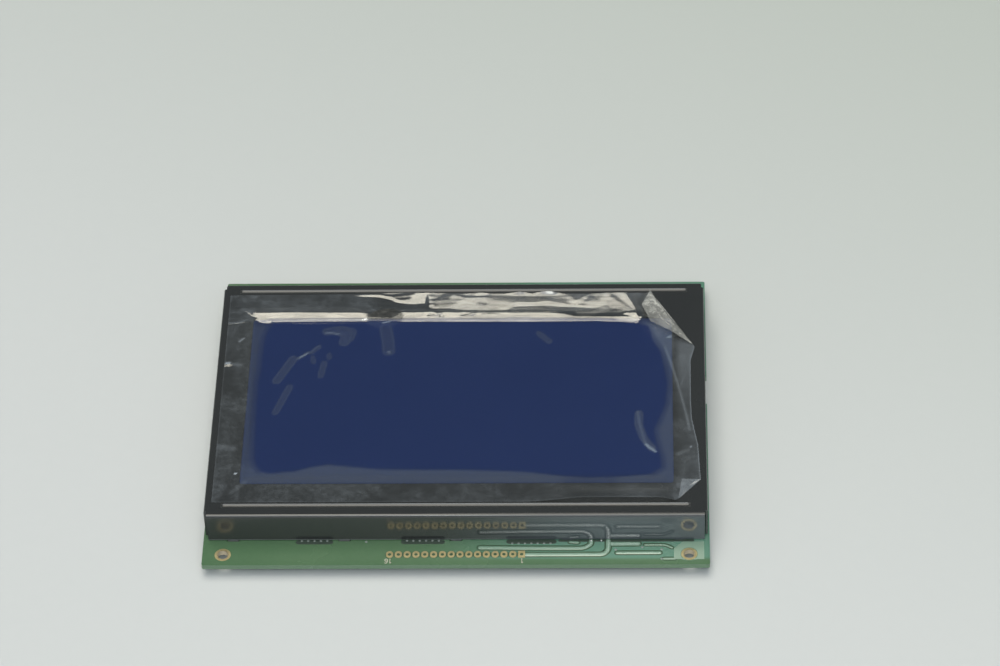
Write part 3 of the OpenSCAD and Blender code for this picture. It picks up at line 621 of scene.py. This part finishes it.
# Creases of the crumpled strip between the window and the back edge: x, y and height over the bezel's face
creases = {
    "lip": [(0.9, 40.7, 1.08), (3.3, 40.6, 1.1), (5.9, 40.7, 1.12), (8.8, 40.6, 1.1), (13.0, 40.6, 1.07),
        (15.4, 40.8, 1.07), (17.3, 40.9, 1.05), (20.9, 40.5, 1.04), (25.0, 40.9, 1.02), (27.4, 40.8, 1.0),
        (29.2, 40.5, 0.98)],
    "ribbon_low": [(-35.9, 41.9, 0.06), (-24.9, 41.2, 0.06), (-22.1, 40.2, 0.06), (-19.7, 39.0, 0.06),
        (-16.5, 38.2, 0.06), (-14.5, 37.9, 0.06), (-11.5, 38.5, 0.15)],
    "ribbon_top": [(-33.7, 42.0, 0.1), (-24.9, 41.8, 0.27), (-22.2, 40.8, 0.3), (-19.7, 39.6, 0.33),
        (-16.9, 39.0, 0.4), (-15.5, 40.5, 0.6), (-14.3, 42.1, 0.95)],
    "pleat": [(-10.2, 41.8, 1.2), (-9.9, 38.8, 0.78), (-9.8, 35.5, 0.36)],
    "pleat_left": [(-11.0, 42.0, 1.1), (-10.6, 39.1, 0.65), (-10.5, 35.8, 0.3)],
    "pleat_right": [(-9.4, 41.9, 1.15), (-9.2, 39.0, 0.75), (-9.1, 35.8, 0.3)],
    "facet_low": [(-9.1, 36.4, 0.5), (-6.9, 36.5, 0.38), (-3.9, 36.6, 0.36)],
    "facet_foot": [(-9.1, 35.8, 0.3), (-6.9, 35.8, 0.22), (-3.8, 35.9, 0.2), (-1.4, 35.4, 0.22)],
    "crest": [(-3.1, 41.3, 1.12), (0.9, 39.8, 1.12), (6.0, 40.0, 1.15), (9.3, 39.2, 1.0), (16.2, 38.0, 0.88),
        (20.8, 37.8, 0.85), (25.4, 38.3, 0.86), (29.3, 37.6, 0.74), (32.1, 37.4, 0.62), (36.2, 36.7, 0.5),
        (39.5, 36.3, 0.42)],
    "crest_foot": [(16.1, 36.9, 0.44), (20.8, 36.9, 0.42), (25.4, 37.2, 0.42), (29.4, 36.7, 0.38),
        (36.2, 36.2, 0.34), (39.5, 35.9, 0.3)],
    "cream_left": [(-5.2, 42.1, 0.75), (-4.2, 39.5, 0.7), (-3.9, 36.6, 0.36)],
    "valley_left": [(-67.5, 38.2, 0.06), (-64.4, 37.4, 0.06), (-60.8, 37.1, 0.06), (-49.3, 37.2, 0.06),
        (-33.5, 37.1, 0.06), (-24.7, 36.8, 0.06), (-16.6, 36.5, 0.1), (-11.4, 36.1, 0.2)],
    "valley_right": [(1.0, 35.0, 0.28), (5.9, 34.9, 0.28), (11.3, 34.9, 0.28), (16.1, 34.8, 0.28),
        (23.3, 34.6, 0.28), (30.9, 34.6, 0.28), (38.4, 34.6, 0.26), (44.4, 34.6, 0.24), (51.0, 34.6, 0.26)],
    "peak": [(32.1, 37.5, 0.58), (34.4, 38.7, 0.95), (36.2, 38.2, 0.66), (38.7, 38.7, 0.82),
        (41.6, 38.6, 0.86), (43.4, 41.4, 1.34)],
    "peak_foot": [(32.7, 37.2, 0.56), (34.5, 37.5, 0.62), (36.2, 37.4, 0.55), (37.2, 36.6, 0.46),
        (39.6, 36.2, 0.38), (41.7, 36.3, 0.4)],
    "facet_edge": [(41.6, 38.6, 0.86), (42.9, 37.0, 0.5), (45.5, 35.7, 0.3), (48.0, 35.1, 0.3),
        (51.9, 34.7, 0.3)],
    "ray_1": [(43.4, 41.4, 1.34), (44.1, 40.5, 1.08), (49.1, 36.7, 0.55), (51.9, 34.7, 0.3)],
    "ray_2": [(45.2, 41.6, 1.08), (48.8, 38.0, 0.66), (52.5, 34.6, 0.3)],
    "ray_3": [(49.2, 41.5, 1.40), (51.1, 37.8, 0.84), (52.5, 34.6, 0.3)],
    "ray_4": [(50.5, 41.7, 0.9), (52.0, 38.0, 0.55), (52.5, 34.6, 0.3)],
    "ray_5": [(55.3, 42.6, 0.35), (53.8, 37.3, 0.3), (53.0, 34.1, 0.3)],
    "wedge": [(-67.2, 36.6, 0.06), (-65.0, 35.6, 0.24), (-62.7, 34.5, 0.58), (-60.3, 34.4, 0.60),
        (-58.3, 34.4, 0.62), (-56.4, 34.4, 0.62)],
    "wedge_low": [(-67.2, 36.3, 0.06), (-65.2, 35.0, 0.09), (-63.0, 34.1, 0.50), (-61.4, 33.5, 0.41),
        (-60.1, 32.85, 0.25), (-59.0, 32.25, 0.10), (-58.2, 31.9, -0.25), (-57.6, 31.6, -0.55)],
    "wedge_foot": [(-65.5, 34.6, 0.06), (-63.7, 33.6, 0.06), (-62.1, 32.8, 0.06), (-60.9, 32.3, 0.06),
        (-60.2, 31.8, -0.09), (-59.3, 31.3, -0.35), (-58.5, 30.9, -0.45)],
    "ridge": [(-56.4, 34.4, 0.62), (-54.8, 34.5, 0.62), (-52.1, 34.5, 0.62), (-40.0, 34.3, 0.62),
        (-30.3, 34.3, 0.6), (-28.8, 34.3, 0.30), (-26.4, 34.0, 0.10), (-22.5, 33.8, 0.10),
        (-20.1, 34.5, 0.28), (-18.9, 34.4, 0.57), (-14.3, 34.2, 0.62), (-9.8, 34.3, 0.67),
        (-3.8, 34.2, 0.62), (8.3, 34.1, 0.62), (20.3, 34.0, 0.64), (25.8, 33.9, 0.62),
        (31.0, 33.9, 0.42), (34.0, 33.9, 0.20), (41.4, 33.9, 0.17), (48.0, 33.8, 0.17),
        (49.4, 33.8, 0.52), (52.2, 34.0, 0.50), (53.0, 34.1, 0.3)],
    "window_edge": [(-59.0, 32.25, 0.1), (-30.0, 32.25, 0.1), (-28.0, 32.25, 0.07), (-20.5, 32.25, 0.07),
        (-18.5, 32.25, 0.1), (0.0, 32.25, 0.1), (34.5, 32.25, 0.1), (36.0, 32.3, 0.05), (38.5, 32.3, 0.05),
        (40.0, 32.25, 0.1), (53.0, 32.25, 0.1)],
    "foot": [(-57.6, 31.6, -0.55), (-56.2, 31.5, -0.55), (-40.0, 31.75, -0.55), (-30.4, 31.65, -0.55),
        (-28.2, 31.95, -0.55), (-24.0, 31.95, -0.55), (-20.4, 31.95, -0.55), (-18.2, 31.55, -0.55),
        (-9.8, 31.45, -0.55), (23.4, 31.35, -0.55), (41.4, 31.45, -0.55), (48.9, 30.95, -0.55),
        (53.4, 29.95, -0.55)],
}
# Outline of the area that is wetted down on the screen
wetted = [
    (-58.6, 29.5), (-59.8, 25.2), (-60.2, 18.9), (-60.3, 12.0), (-60.8, 5.1), (-60.8, -3.0), (-60.4, -17.7),
    (-60.0, -24.9), (-59.3, -28.1), (-57.9, -30.3), (-54.5, -31.1), (-47.2, -30.3), (-42.5, -28.7),
    (-37.7, -27.7), (-32.8, -28.3), (-23.1, -29.6), (-0.9, -29.9), (11.6, -30.3), (20.7, -30.9),
    (30.9, -32.6), (38.1, -33.3), (47.7, -33.0), (57.3, -31.8), (60.2, -29.4), (60.0, -24.7),
    (58.8, -19.4), (58.1, -14.2), (59.6, -9.9), (61.6, -3.6), (62.2, 5.1), (60.3, 18.5), (57.9, 23.3),
    (56.0, 28.8), (52.0, 30.6), (-18.0, 31.0), (-22.0, 31.0), (-30.0, 31.0), (-56.0, 31.2),
]
# Bubbles left in it: a path, half the width, the height and how loose the film is
bubbles = [
    ([(-54.6, 6.6), (-50.2, 15.6)], 1.35, 0.03, 0.46),
    ([(-54.2, -6.4), (-50.6, 4.0)], 1.05, 0.025, 0.43),
    ([(-41.6, 8.6), (-40.8, 13.8)], 0.95, 0.025, 0.42),
    ([(-48.3, 16.0), (-46.0, 18.3)], 0.50, 0.09, 0.55),
    ([(-44.8, 18.3), (-42.7, 20.7)], 0.75, 0.01, 0.44),
    ([(-40.4, 27.2), (-36.5, 28.0), (-34.6, 26.4), (-35.2, 22.6)], 1.6, 0.035, 0.44),
    ([(-40.6, 26.0), (-38.0, 26.3), (-36.3, 25.8)], 0.5, 0.08, 0.5),
    ([(-36.0, 28.0), (-33.3, 27.0), (-33.8, 24.4)], 1.6, 0.02, 0.40),
    ([(-44.4, 16.2), (-44.0, 14.2)], 0.75, 0.004, 0.40),
    ([(-39.5, 17.4), (-39.4, 16.0)], 0.70, 0.004, 0.36),
    ([(23.2, 26.0), (26.2, 22.7)], 0.95, 0.03, 0.46),
    ([(53.0, -7.4), (52.9, -12.1), (54.4, -17.6), (56.8, -21.4)], 1.15, 0.06, 0.58),
    ([(54.8, -18.6), (56.0, -20.3), (57.2, -21.5)], 0.55, 0.18, 0.75),
    ([(-23.0, 28.4), (-22.1, 23.5), (-21.7, 18.8)], 1.9, 0.03, 0.36),
]
# Two fine creases of the right margin
right_crease = [(60.8, 19.9), (62.6, 12.9), (64.6, 3.8), (66.0, -3.6), (67.1, -10.0), (67.8, -15.0)]
short_crease = [(67.0, 8.8), (65.5, 3.8)]
# Small creases and dents: a path, half the width and the height
marks = [
    ([(-70.4, 30.3), (-67.0, 30.7), (-65.0, 31.3)], 0.5, 0.09),
    ([(-66.5, 22.3), (-65.2, 23.8)], 0.5, 0.16),
    ([(-70.2, 13.0), (-68.9, 13.2)], 1.0, 0.26),
    ([(-68.9, 13.2), (-66.0, 13.3)], 0.7, 0.07),
    ([(-64.5, -32.0), (-64.3, -32.0)], 0.45, 0.16),
    (right_crease, 0.55, 0.12),
    (short_crease, 0.5, 0.08),
    ([(63.7, -23.8), (65.8, -22.6), (67.5, -22.0)], 1.2, 0.07),
    ([(5.4, 33.1), (8.5, 33.25), (12.6, 32.95)], 0.35, 0.14),
    ([(4.8, 38.4), (6.8, 38.1)], 1.0, -0.10),
    ([(13.8, 32.6), (17.0, 32.5), (21.0, 32.85)], 0.35, 0.14),
]
# Pale spots of trapped dust and sharp kinks, and painted highlights where bends of the film catch the light:
# a path, half the width and how milky they are
pale_spots = [
    ([(-23.9, 30.9), (-22.8, 31.1), (-21.8, 31.4)], 0.45, 0.20),
    ([(-48.6, 15.9), (-47.4, 16.9), (-46.0, 17.9)], 0.40, 0.16),
    ([(-45.0, 18.5), (-43.8, 20.3), (-42.4, 21.3)], 0.60, 0.025),
    ([(-41.1, 26.4), (-39.4, 26.7), (-37.1, 26.0)], 0.45, 0.10),
    ([(-21.7, 18.5), (-21.5, 18.3)], 0.70, 0.10),
    ([(-66.6, 22.5), (-65.4, 23.9)], 0.45, 0.16),
    ([(-70.3, 13.3), (-69.2, 13.3)], 0.75, 0.40),
    ([(-69.2, 13.3), (-65.9, 12.6)], 0.80, 0.06),
    ([(-70.4, 30.5), (-68.6, 30.3), (-66.6, 30.8), (-65.1, 31.7)], 0.40, 0.10),
    ([(-64.4, -31.7), (-64.3, -31.7)], 0.45, 0.55),
    ([(-70.0, -21.0), (-65.8, -21.4)], 1.60, 0.045),
    ([(-65.2, -39.2), (-61.4, -35.0)], 1.10, 0.035),
    ([(54.9, -19.8), (56.4, -21.5), (57.8, -22.8)], 0.55, 0.24),
    ([(52.6, -6.5), (53.2, -12.0), (54.9, -19.8)], 0.60, 0.05),
    ([(68.0, -21.6), (68.1, -21.6)], 0.40, 0.30),
    ([(64.3, -24.4), (67.5, -22.8)], 1.00, 0.05),
    ([(61.8, 23.7), (62.5, 24.0)], 0.70, 0.22),
    ([(49.6, 31.8), (51.2, 32.6)], 0.60, 0.05),
]
# How far the right edge is pulled in, by y, and the front edge is pulled back, by x
right_pull = ((-34.5, 0.0), (-21.0, 0.6), (-10.3, 2.3), (-3.0, 2.5), (13.8, 2.4), (20.0, 1.0), (43.0, 0.0))
front_pull = ((21.5, 0.0), (30.2, 0.1), (36.8, 0.3), (47.0, 0.3), (56.1, 0.2), (64.0, 0.0))


def ease(t):
    """Nought below nought, one above one and smooth between."""
    t = np.clip(t, 0.0, 1.0)
    return t * t * (3 - 2 * t)


def band(value, low, high, rise, fall=None):
    """One between low and high and nought outside, with its soft edges inside them."""
    return ease((value - low) / rise) * ease((high - value) / (fall or rise))


def read_off(value, table):
    """The amount at each value, from a table of places and amounts."""
    places, amounts = zip(*table)
    return np.interp(value, places, amounts)


def to_path(x, y, path, closed=False):
    """Distance from each point to a path."""
    best = np.full(x.shape, 1e9)
    ends = list(zip(path, path[1:])) + ([(path[-1], path[0])] if closed else [])
    for (ax, ay), (bx, by) in ends:
        dx, dy = bx - ax, by - ay
        t = np.clip(((x - ax) * dx + (y - ay) * dy) / (dx * dx + dy * dy), 0, 1)
        best = np.minimum(best, np.hypot(x - ax - t * dx, y - ay - t * dy))
    return best


def inside(x, y, outline):
    """Which points lie within an outline."""
    found = np.zeros(x.shape, bool)
    for (ax, ay), (bx, by) in zip(outline, outline[1:] + outline[:1]):
        if ay != by:
            found ^= ((ay > y) != (by > y)) & (x < ax + (y - ay) * (bx - ax) / (by - ay))
    return found


def draped_height(x, y):
    """The film's height where it is not crumpled: flat on the bezel, down on the screen in the window."""
    sunk = np.minimum(ease((x + window_x) / LEFT_SLOPE), ease((window_x - x) / RIGHT_SLOPE))
    sunk = np.minimum(sunk, ease((y - window_front) / FRONT_SLOPE))
    sunk = np.minimum(sunk, ease((window_back - y) / (BACK_SLOPE + CORNER_SLOPE * ease((x - 52) / 3))))
    on_screen = SCREEN_TOP + SCREEN_GAP
    on_face = FACE_TOP + FACE_GAP
    ripple = 0.02 * np.sin(x * 0.33 + 0.9 * np.sin(x * 0.13)) ** 2 * ease((window_front - y) / 3)
    curl_right = 0.25 * ease((x - window_x) / 6) * band(y, -32, 20, 12)
    curl_front = 1.5 * ease((window_front - y) / 6.5) * band(x, 20, 66, 18, 7)
    return on_face + (on_screen - on_face) * sunk + ripple + curl_right + curl_front


def crease_surface():
    """The crumpled strip as flat facets between its creases."""
    spots, edges = [], []
    for line in [back_edge, *creases.values()]:
        first = len(spots)
        spots.extend(line)
        edges.extend((first + i, first + i + 1) for i in range(len(line) - 1))
    flat = [Vector((x, y)) for x, y, _ in spots]
    verts, _, faces, origins, *_ = delaunay_2d_cdt(flat, edges, [], 0, 1e-4)
    heights = []
    for vert, found in zip(verts, origins):
        if found:
            heights.append(max(spots[i][2] for i in found))
            continue
        # Where two creases cross, the new corner takes the height of the nearer one
        near = min(range(len(spots)), key=lambda i: (flat[i] - vert).length)
        heights.append(spots[near][2])
    corners = np.array([(v.x, v.y) for v in verts])
    return corners, np.array(heights), faces


def crumpled_height(x, y):
    """Height over the bezel's face in the crumpled strip, not a number elsewhere."""
    corners, heights, faces = crease_surface()
    found = np.full(x.shape, np.nan)
    for face in faces:
        (ax, ay), (bx, by), (cx, cy) = corners[list(face)]
        area = (bx - ax) * (cy - ay) - (cx - ax) * (by - ay)
        if abs(area) < 1e-6:
            continue
        u = ((x - ax) * (cy - ay) - (cx - ax) * (y - ay)) / area
        v = ((bx - ax) * (y - ay) - (x - ax) * (by - ay)) / area
        hit = (u >= -1e-6) & (v >= -1e-6) & (u + v <= 1 + 1e-6)
        a, b, c = heights[list(face)]
        found[hit] = (a + u * (b - a) + v * (c - a))[hit]
    return found


def fine_folds(x, y):
    """Small waves of the crumpled strip, and two lengths of sharp crinkles along the window's edge."""
    waves = np.sin(0.9 * x + 2.1 * y + 1.2 * np.sin(0.5 * x)) * np.sin(1.7 * y - 0.7 * x + 0.8)
    waves = (0.014 + 0.018 * ease((-8 - x) / 3)) * waves * band(x, -34, 50, 6, 8) * ease((y - 34.6) / 1.5)
    crinkled = band(x, -11.5, -4.5, 1.5) + band(x, -1.5, 5, 1.5)
    crinkled = crinkled * band(y, 32.3, 34.1, 0.4)
    crinkles = np.sin(2.9 * x + 2.0 * np.sin(2.6 * y)) * np.sin(4.2 * y + 1.7 * x)
    return waves + 0.34 * crinkled * crinkles


def smoothed(grid):
    """Rounds the creases of a grid of heights a little."""
    padded = np.pad(grid, 1, mode="edge")
    beside = padded[:-2, 1:-1] + padded[2:, 1:-1] + padded[1:-1, :-2] + padded[1:-1, 2:]
    return (4 * grid + beside) / 8


def pucker(x, y):
    """One where the film is stuck down across the window's back edge, nought outside."""
    middle_x, middle_y, lean, half_x, half_y = -23.3, 32.5, 0.25, 5.4, 3.7
    away = np.hypot((x - middle_x - lean * (y - middle_y)) / half_x, (y - middle_y) / half_y)
    return ease((1.12 - away) / 0.26)


def film_plan():
    """Places of the main sheet's points in plan, as grids of rows and columns."""
    columns = np.linspace(film_left, film_right, COLUMNS)
    back_y = read_off(columns, [(x, y) for x, y, _ in back_edge] + [(film_right, film_back)])
    rows = []
    for start, end, count in (
        (film_front, window_front, FRONT_ROWS),
        (window_front, STRIP_FRONT, WINDOW_ROWS),
        (STRIP_FRONT, back_y, STRIP_ROWS),
    ):
        rows += [start + (end - start) * i / count + np.zeros(COLUMNS) for i in range(count)]
    y = np.array(rows + [back_y])
    x = np.tile(columns, (len(y), 1))
    x = x - read_off(y, right_pull) * ease((x - 58) / 12.8)
    y = y + read_off(x, front_pull) * ease((window_front - y) / 7.3)
    return x, y


def dryness(x, y):
    """Nought where the film is wetted down on the screen and one elsewhere, with a soft edge."""
    edge = to_path(x, y, wetted, closed=True) / np.where(np.abs(x) > 57, 1.4, 0.6)
    return np.where(inside(x, y, wetted), 0.5 - 0.5 * ease(edge), 0.5 + 0.5 * ease(edge))


def film_grid():
    """Plan places, heights and dryness of the main sheet, as grids of rows and columns."""
    x, y = film_plan()
    z = draped_height(x, y)
    strip = crumpled_height(x, y)
    share = band(x, film_left, 55.5, 2.5, 3) * ~np.isnan(strip)
    z = z + (FACE_TOP + np.nan_to_num(strip) + fine_folds(x, y) - z) * share
    dry = dryness(x, y)
    for path, radius, height, loose in bubbles:
        away = to_path(x, y, path) / radius
        z = z + height * np.clip(1 - away * away, 0, 1) * (1 - dry)
        dry = np.maximum(dry, loose * ease((1.15 - away) / 0.3))
    for path, radius, height in marks:
        z = z + height * np.clip(1 - to_path(x, y, path) / radius, 0, 1)
    # Crumpled film lies in several thicknesses and mirrors more
    layered = ease((y - 30.6) / 1.0) * band(x, -70, 57, 6, 3)
    dry = dry * (1 + 0.5 * layered * np.maximum(ease((35.6 - y) / 1.0), 0.5 + 0.25 * ease((x + 40) / 8)))
    # It mirrors less where it sticks to the window's edge, and along a dull length at the right
    dry = dry * (1 - 0.88 * pucker(x, y)) * (1 - 0.35 * band(x, 28, 48, 6, 3) * ease((33.6 - y) / 0.6))
    in_window = (np.abs(x) < window_x - 0.1) & (y > window_front + 0.1) & (y < window_back - 0.1)
    floor = np.where(in_window, SCREEN_TOP, FACE_TOP)
    return x, y, np.maximum(smoothed(z), floor + LEAST_GAP), dry


def milkiness(x, y, dry):
    """How milky the main sheet is at each point: its haze, and painted highlights on bends, bubble rims and
    cut edges.
    """
    # The lifted right margin and the loose film under the folded corner are hazier
    milk = (0.020 + 0.058 * ease((y + 4) / 14)) * ease((x - window_x) / 3) * ease((24 - y) / 4)
    loose = np.clip(dry, 0, 1)
    milk = milk + 0.036 * loose * band(x, 50, window_x + 1, 4, 1) * band(y, 10, 31, 10, 2)
    for path in (right_crease, short_crease):
        milk = np.maximum(milk, 0.10 * ease(1 - to_path(x, y, path) / 0.7))
    for path, radius, strength in pale_spots:
        milk = np.maximum(milk, strength * ease(1.3 - 1.3 * to_path(x, y, path) / radius))
    # A painted highlight round the rim of each bubble
    for path, radius, _, share in bubbles:
        milk = np.maximum(milk, 0.034 * share * ease(1 - np.abs(to_path(x, y, path) / radius - 0.85) / 0.35))
    # So is what has come off the screen, less so down the left side
    in_window = ease((window_x - np.abs(x)) / 0.5) * band(y, window_front, 30.0, 0.5, 1.5)
    left = ease((-57 - x) / 2) * ease((y + 30) / 4)
    milk = milk + 0.034 * in_window * loose * (1 - 0.5 * left) + 0.012 * pucker(x, y)
    # The cut edges catch light
    milk[:, 0] = milk[0, :] = 0.03
    milk[:, -1] = 0.17
    return milk


class FilmMesh:
    """Collects the film's points and faces, and the values that its finish reads at each point."""

    def __init__(self):
        self.points, self.faces = [], []
        self.looks = {"dry": [], "milky": [], "crushed": []}

    def point(self, place, *look):
        """Adds a point with its looks and gives its number."""
        self.points.append(tuple(float(v) for v in place))
        for values, value in zip(self.looks.values(), look):
            values.append(float(value))
        return len(self.points) - 1

    def join(self, numbers):
        """Lays faces between the points of a grid, apart from those below nought, which are left out."""
        for row, after in zip(numbers, numbers[1:]):
            for corner in zip(row, row[1:], after[1:], after):
                if min(corner) >= 0:
                    self.faces.append(tuple(int(i) for i in corner))


def add_sheet(film):
    """The main sheet, up to the lines along which its corners are folded over."""
    x, y, z, dry = film_grid()
    keep = np.ones(x.shape, bool)
    # Points past a fold line move back onto it, so that the sheet ends in a clean edge there
    for start, end in ((fold_back, fold_right), (small_fold_right, small_fold_front)):
        along = (end - start).normalized()
        past = (x - start.x) * -along.y + (y - start.y) * along.x
        keep &= past < GRID_CELL
        x = np.where(past > 0, x + past * along.y, x)
        y = np.where(past > 0, y - past * along.x, y)
    milk = milkiness(x, y, dry)
    crush = 0.10 * pucker(x, y) * (0.15 + 0.85 * ease((y - 31.4) / 1.2))
    numbers = np.full(x.shape, -1)
    for spot in zip(*np.nonzero(keep)):
        numbers[spot] = film.point((x[spot], y[spot], z[spot]), dry[spot], milk[spot], crush[spot])
    film.join(numbers)


def add_flap(film, start, end, free, rise, tone, rumple, count, across):
    """A corner folded over along start to end, out to the free outline. Rise gives its height, and tone
    how milky and crushed it is, along (s) and across (t) the fold."""
    free_x, free_y = np.array([tuple(p) for p in (start, *free, end)]).T
    run = np.concatenate([[0], np.cumsum(np.hypot(np.diff(free_x), np.diff(free_y)))])
    s = np.linspace(0, 1, count)
    fold_x, fold_y = start.x + (end.x - start.x) * s, start.y + (end.y - start.y) * s
    rim_x, rim_y = np.interp(s, run / run[-1], free_x), np.interp(s, run / run[-1], free_y)
    numbers = []
    for t in np.linspace(0, 1, across):
        x = fold_x + (rim_x - fold_x) * t
        y = fold_y + (rim_y - fold_y) * t
        waves = np.sin(1.3 * x + 2.2 * y) * np.sin(0.8 * x - 1.1 * y + 1.0)
        z = rise(s, t) + rumple * waves * math.sin(math.pi * min(t, 0.9))
        looks = zip(*tone(s, t))
        numbers.append([film.point(place, 1.0, *look) for place, look in zip(zip(x, y, z), looks)])
    film.join(np.array(numbers).T)


def big_rise(s, t):
    """Rolls up from the fold and bows in the middle; its right end lies down on the sheet."""
    roll = 0.55 * ease(t / 0.15) * (1 - 0.85 * ease((s - 0.7) / 0.3))
    return FACE_TOP + 0.3 - 0.18 * s + roll + t * np.sin(math.pi * np.clip(s, 0.08, 0.95))


def big_tone(s, t):
    """Palest along the fold, on a second crease beside it and towards the back edge. The fold, the crease and
    the free rim carry painted highlights.
    """
    back = ease((0.52 - s) / 0.3)
    fold = ease((0.10 - t) / 0.10)
    second = ease(1 - abs(t - 0.42 - 0.1 * s) / 0.06) * ease((s - 0.25) / 0.2)
    rim = ease((t - 0.955) / 0.045)
    tip = ease((s - 0.80) / 0.15)
    pale = 0.12 + 0.02 * back + 0.06 * (1 - t) + 0.16 * fold + 0.10 * second + 0.10 * rim + 0.12 * tip
    return pale, 0.14 + 0.22 * back + 0.16 * (1 - t)


def small_rise(s, t):
    """Lies almost flat on the sheet."""
    return FACE_TOP + 0.12 + 0.10 * ease(t / 0.4) + 0.06 * t * np.sin(math.pi * s)


def small_tone(s, t):
    """Palest along the fold and towards the right. Along the fold this is a painted highlight."""
    return 0.085 + 0.05 * (1 - s) + 0.05 * ease((0.12 - t) / 0.12), 0.0 * s


def film_piece():
    film = FilmMesh()
    add_sheet(film)
    big_free = [Vector((54.0, 36.3)), Vector((56.6, 28.8)), Vector((63.2, 24.6))]
    add_flap(film, fold_back, fold_right, big_free, big_rise, big_tone, 0.10, 60, 40)
    small_free = [Vector((65.3, -34.4))]
    add_flap(film, small_fold_right, small_fold_front, small_free, small_rise, small_tone, 0.0, 30, 14)
    piece = mesh_piece("wrinkled_film", film.points, film.faces, finishes["clear_film"])
    for name, values in film.looks.items():
        piece.data.attributes.new(name, "FLOAT", "POINT").data.foreach_set("value", values)
    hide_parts("protective_film")


film_piece()


# Table, light and camera

TABLE_HALF = 6.0
LAMP_TILT = math.radians(42)
CAMERA_AT = (0.053235, -0.857736, 0.899476)
CAMERA_RIGHT = (0.999433, 0.020538, -0.026693)
CAMERA_UP = (0.004331, 0.707597, 0.706603)
CAMERA_LENS, SENSOR_WIDTH = 150.147, 36.0


def table_top():
    f = Finish("pale_table")
    place = f.place()
    cloud = f.noise(3.0, 4, 0.55, place)
    grain = f.noise(220, 3, 0.6, place)
    colour = f.mix(0.7 * cloud + 0.3 * grain, tint(0.545, 0.567, 0.579), tint(0.592, 0.610, 0.618))
    # The table is painted darker towards the back right: painted shade where less light reaches it
    far_shade = f.step(f.axis(place, 1) + 0.45 * f.axis(place, 0), -0.10, 0.45)
    colour = f.mix(far_shade * 0.85, colour, tint(0.398, 0.441, 0.396))
    return f.close(f.principled(base_color=colour, roughness=0.6, specular_ior_level=0.25))


def make_table():
    mesh = bpy.data.meshes.new("table")
    corners = [(x * TABLE_HALF, y * TABLE_HALF, 0) for x, y in ((-1, -1), (1, -1), (1, 1), (-1, 1))]
    mesh.from_pydata(corners, [], [(0, 1, 2, 3)])
    mesh.materials.append(table_top())
    table = bpy.data.objects.new("table", mesh)
    bpy.context.scene.collection.objects.link(table)


make_table()


def room_light():
    """A dim room: pale walls near the horizon, darker above them and a lighter ceiling."""
    world = bpy.data.worlds.new("room")
    bpy.context.scene.world = world
    world.use_nodes = True
    f = Finish("room", world.node_tree)
    towards = f.node("TexCoord", out=0)
    up = f.axis(towards, 2)
    horizon = (0.0, tint(0.19, 0.21, 0.22))
    far_wall = ((0.45, tint(0.120, 0.136, 0.150)), (0.78, tint(0.108, 0.124, 0.138)))
    ceiling = ((0.90, tint(0.42, 0.43, 0.43)), (1.0, tint(0.50, 0.51, 0.50)))
    near_wall = tint(0.31, 0.378, 0.426)
    along = f.axis(towards, 1)
    near = f.step(along, 0.10, -0.45)
    room = f.mix(near, f.ramp(up, horizon, *far_wall, *ceiling), near_wall)
    # A long diffuse lamp overhead, with soft edges
    level = f.node("Math", {"operation": "MAXIMUM"}, {0: up, 1: 0.05})
    across = abs(f.axis(towards, 0) / level + 0.10)
    reach = along / level
    strip = f.step(reach, 0.72, 0.45) * f.step(reach, -1.15, -0.95) * f.step(across, 0.52, 0.20)
    lamp = f.mix(f.step(reach, 0.0, -0.30), tint(4.16, 4.00, 3.54), tint(2.40, 2.37, 2.38))
    lamp = f.mix(f.step(reach, -0.72, -0.84), lamp, tint(2.65, 2.70, 2.78))
    f.close(f.node("Background", sockets={"Color": f.mix(strip, room, lamp), "Strength": 1.0}))


room_light()


def soft_box(name, centre, size, radiance, colour):
    """A rectangular soft light, tilted at the part; radiance is how bright its face looks."""
    data = bpy.data.lights.new(name, "AREA")
    data.shape = "RECTANGLE"
    data.size, data.size_y = size
    data.energy = radiance * math.pi * size[0] * size[1]
    data.color = colour
    box = bpy.data.objects.new(name, data)
    box.location = centre
    box.rotation_euler = (LAMP_TILT, 0, 0)
    bpy.context.scene.collection.objects.link(box)


soft_box("near_light", (0.05, -1.25, 1.38), (1.4, 0.45), 1.4, (0.97, 0.96, 0.90))
soft_box("near_right_light", (0.075, -1.27, 1.40), (0.24, 0.42), 20.0, (0.92, 1.0, 0.96))


def make_camera():
    data = bpy.data.cameras.new("camera")
    data.lens = CAMERA_LENS
    data.sensor_width = SENSOR_WIDTH
    data.clip_start, data.clip_end = 0.05, 50.0
    camera = bpy.data.objects.new("camera", data)
    right, up = Vector(CAMERA_RIGHT), Vector(CAMERA_UP)
    turn = Matrix((right, up, right.cross(up))).transposed()
    camera.matrix_world = Matrix.Translation(CAMERA_AT) @ turn.to_4x4()
    bpy.context.scene.collection.objects.link(camera)
    bpy.context.scene.camera = camera


make_camera()
bpy.context.scene.view_settings.view_transform = "Standard"
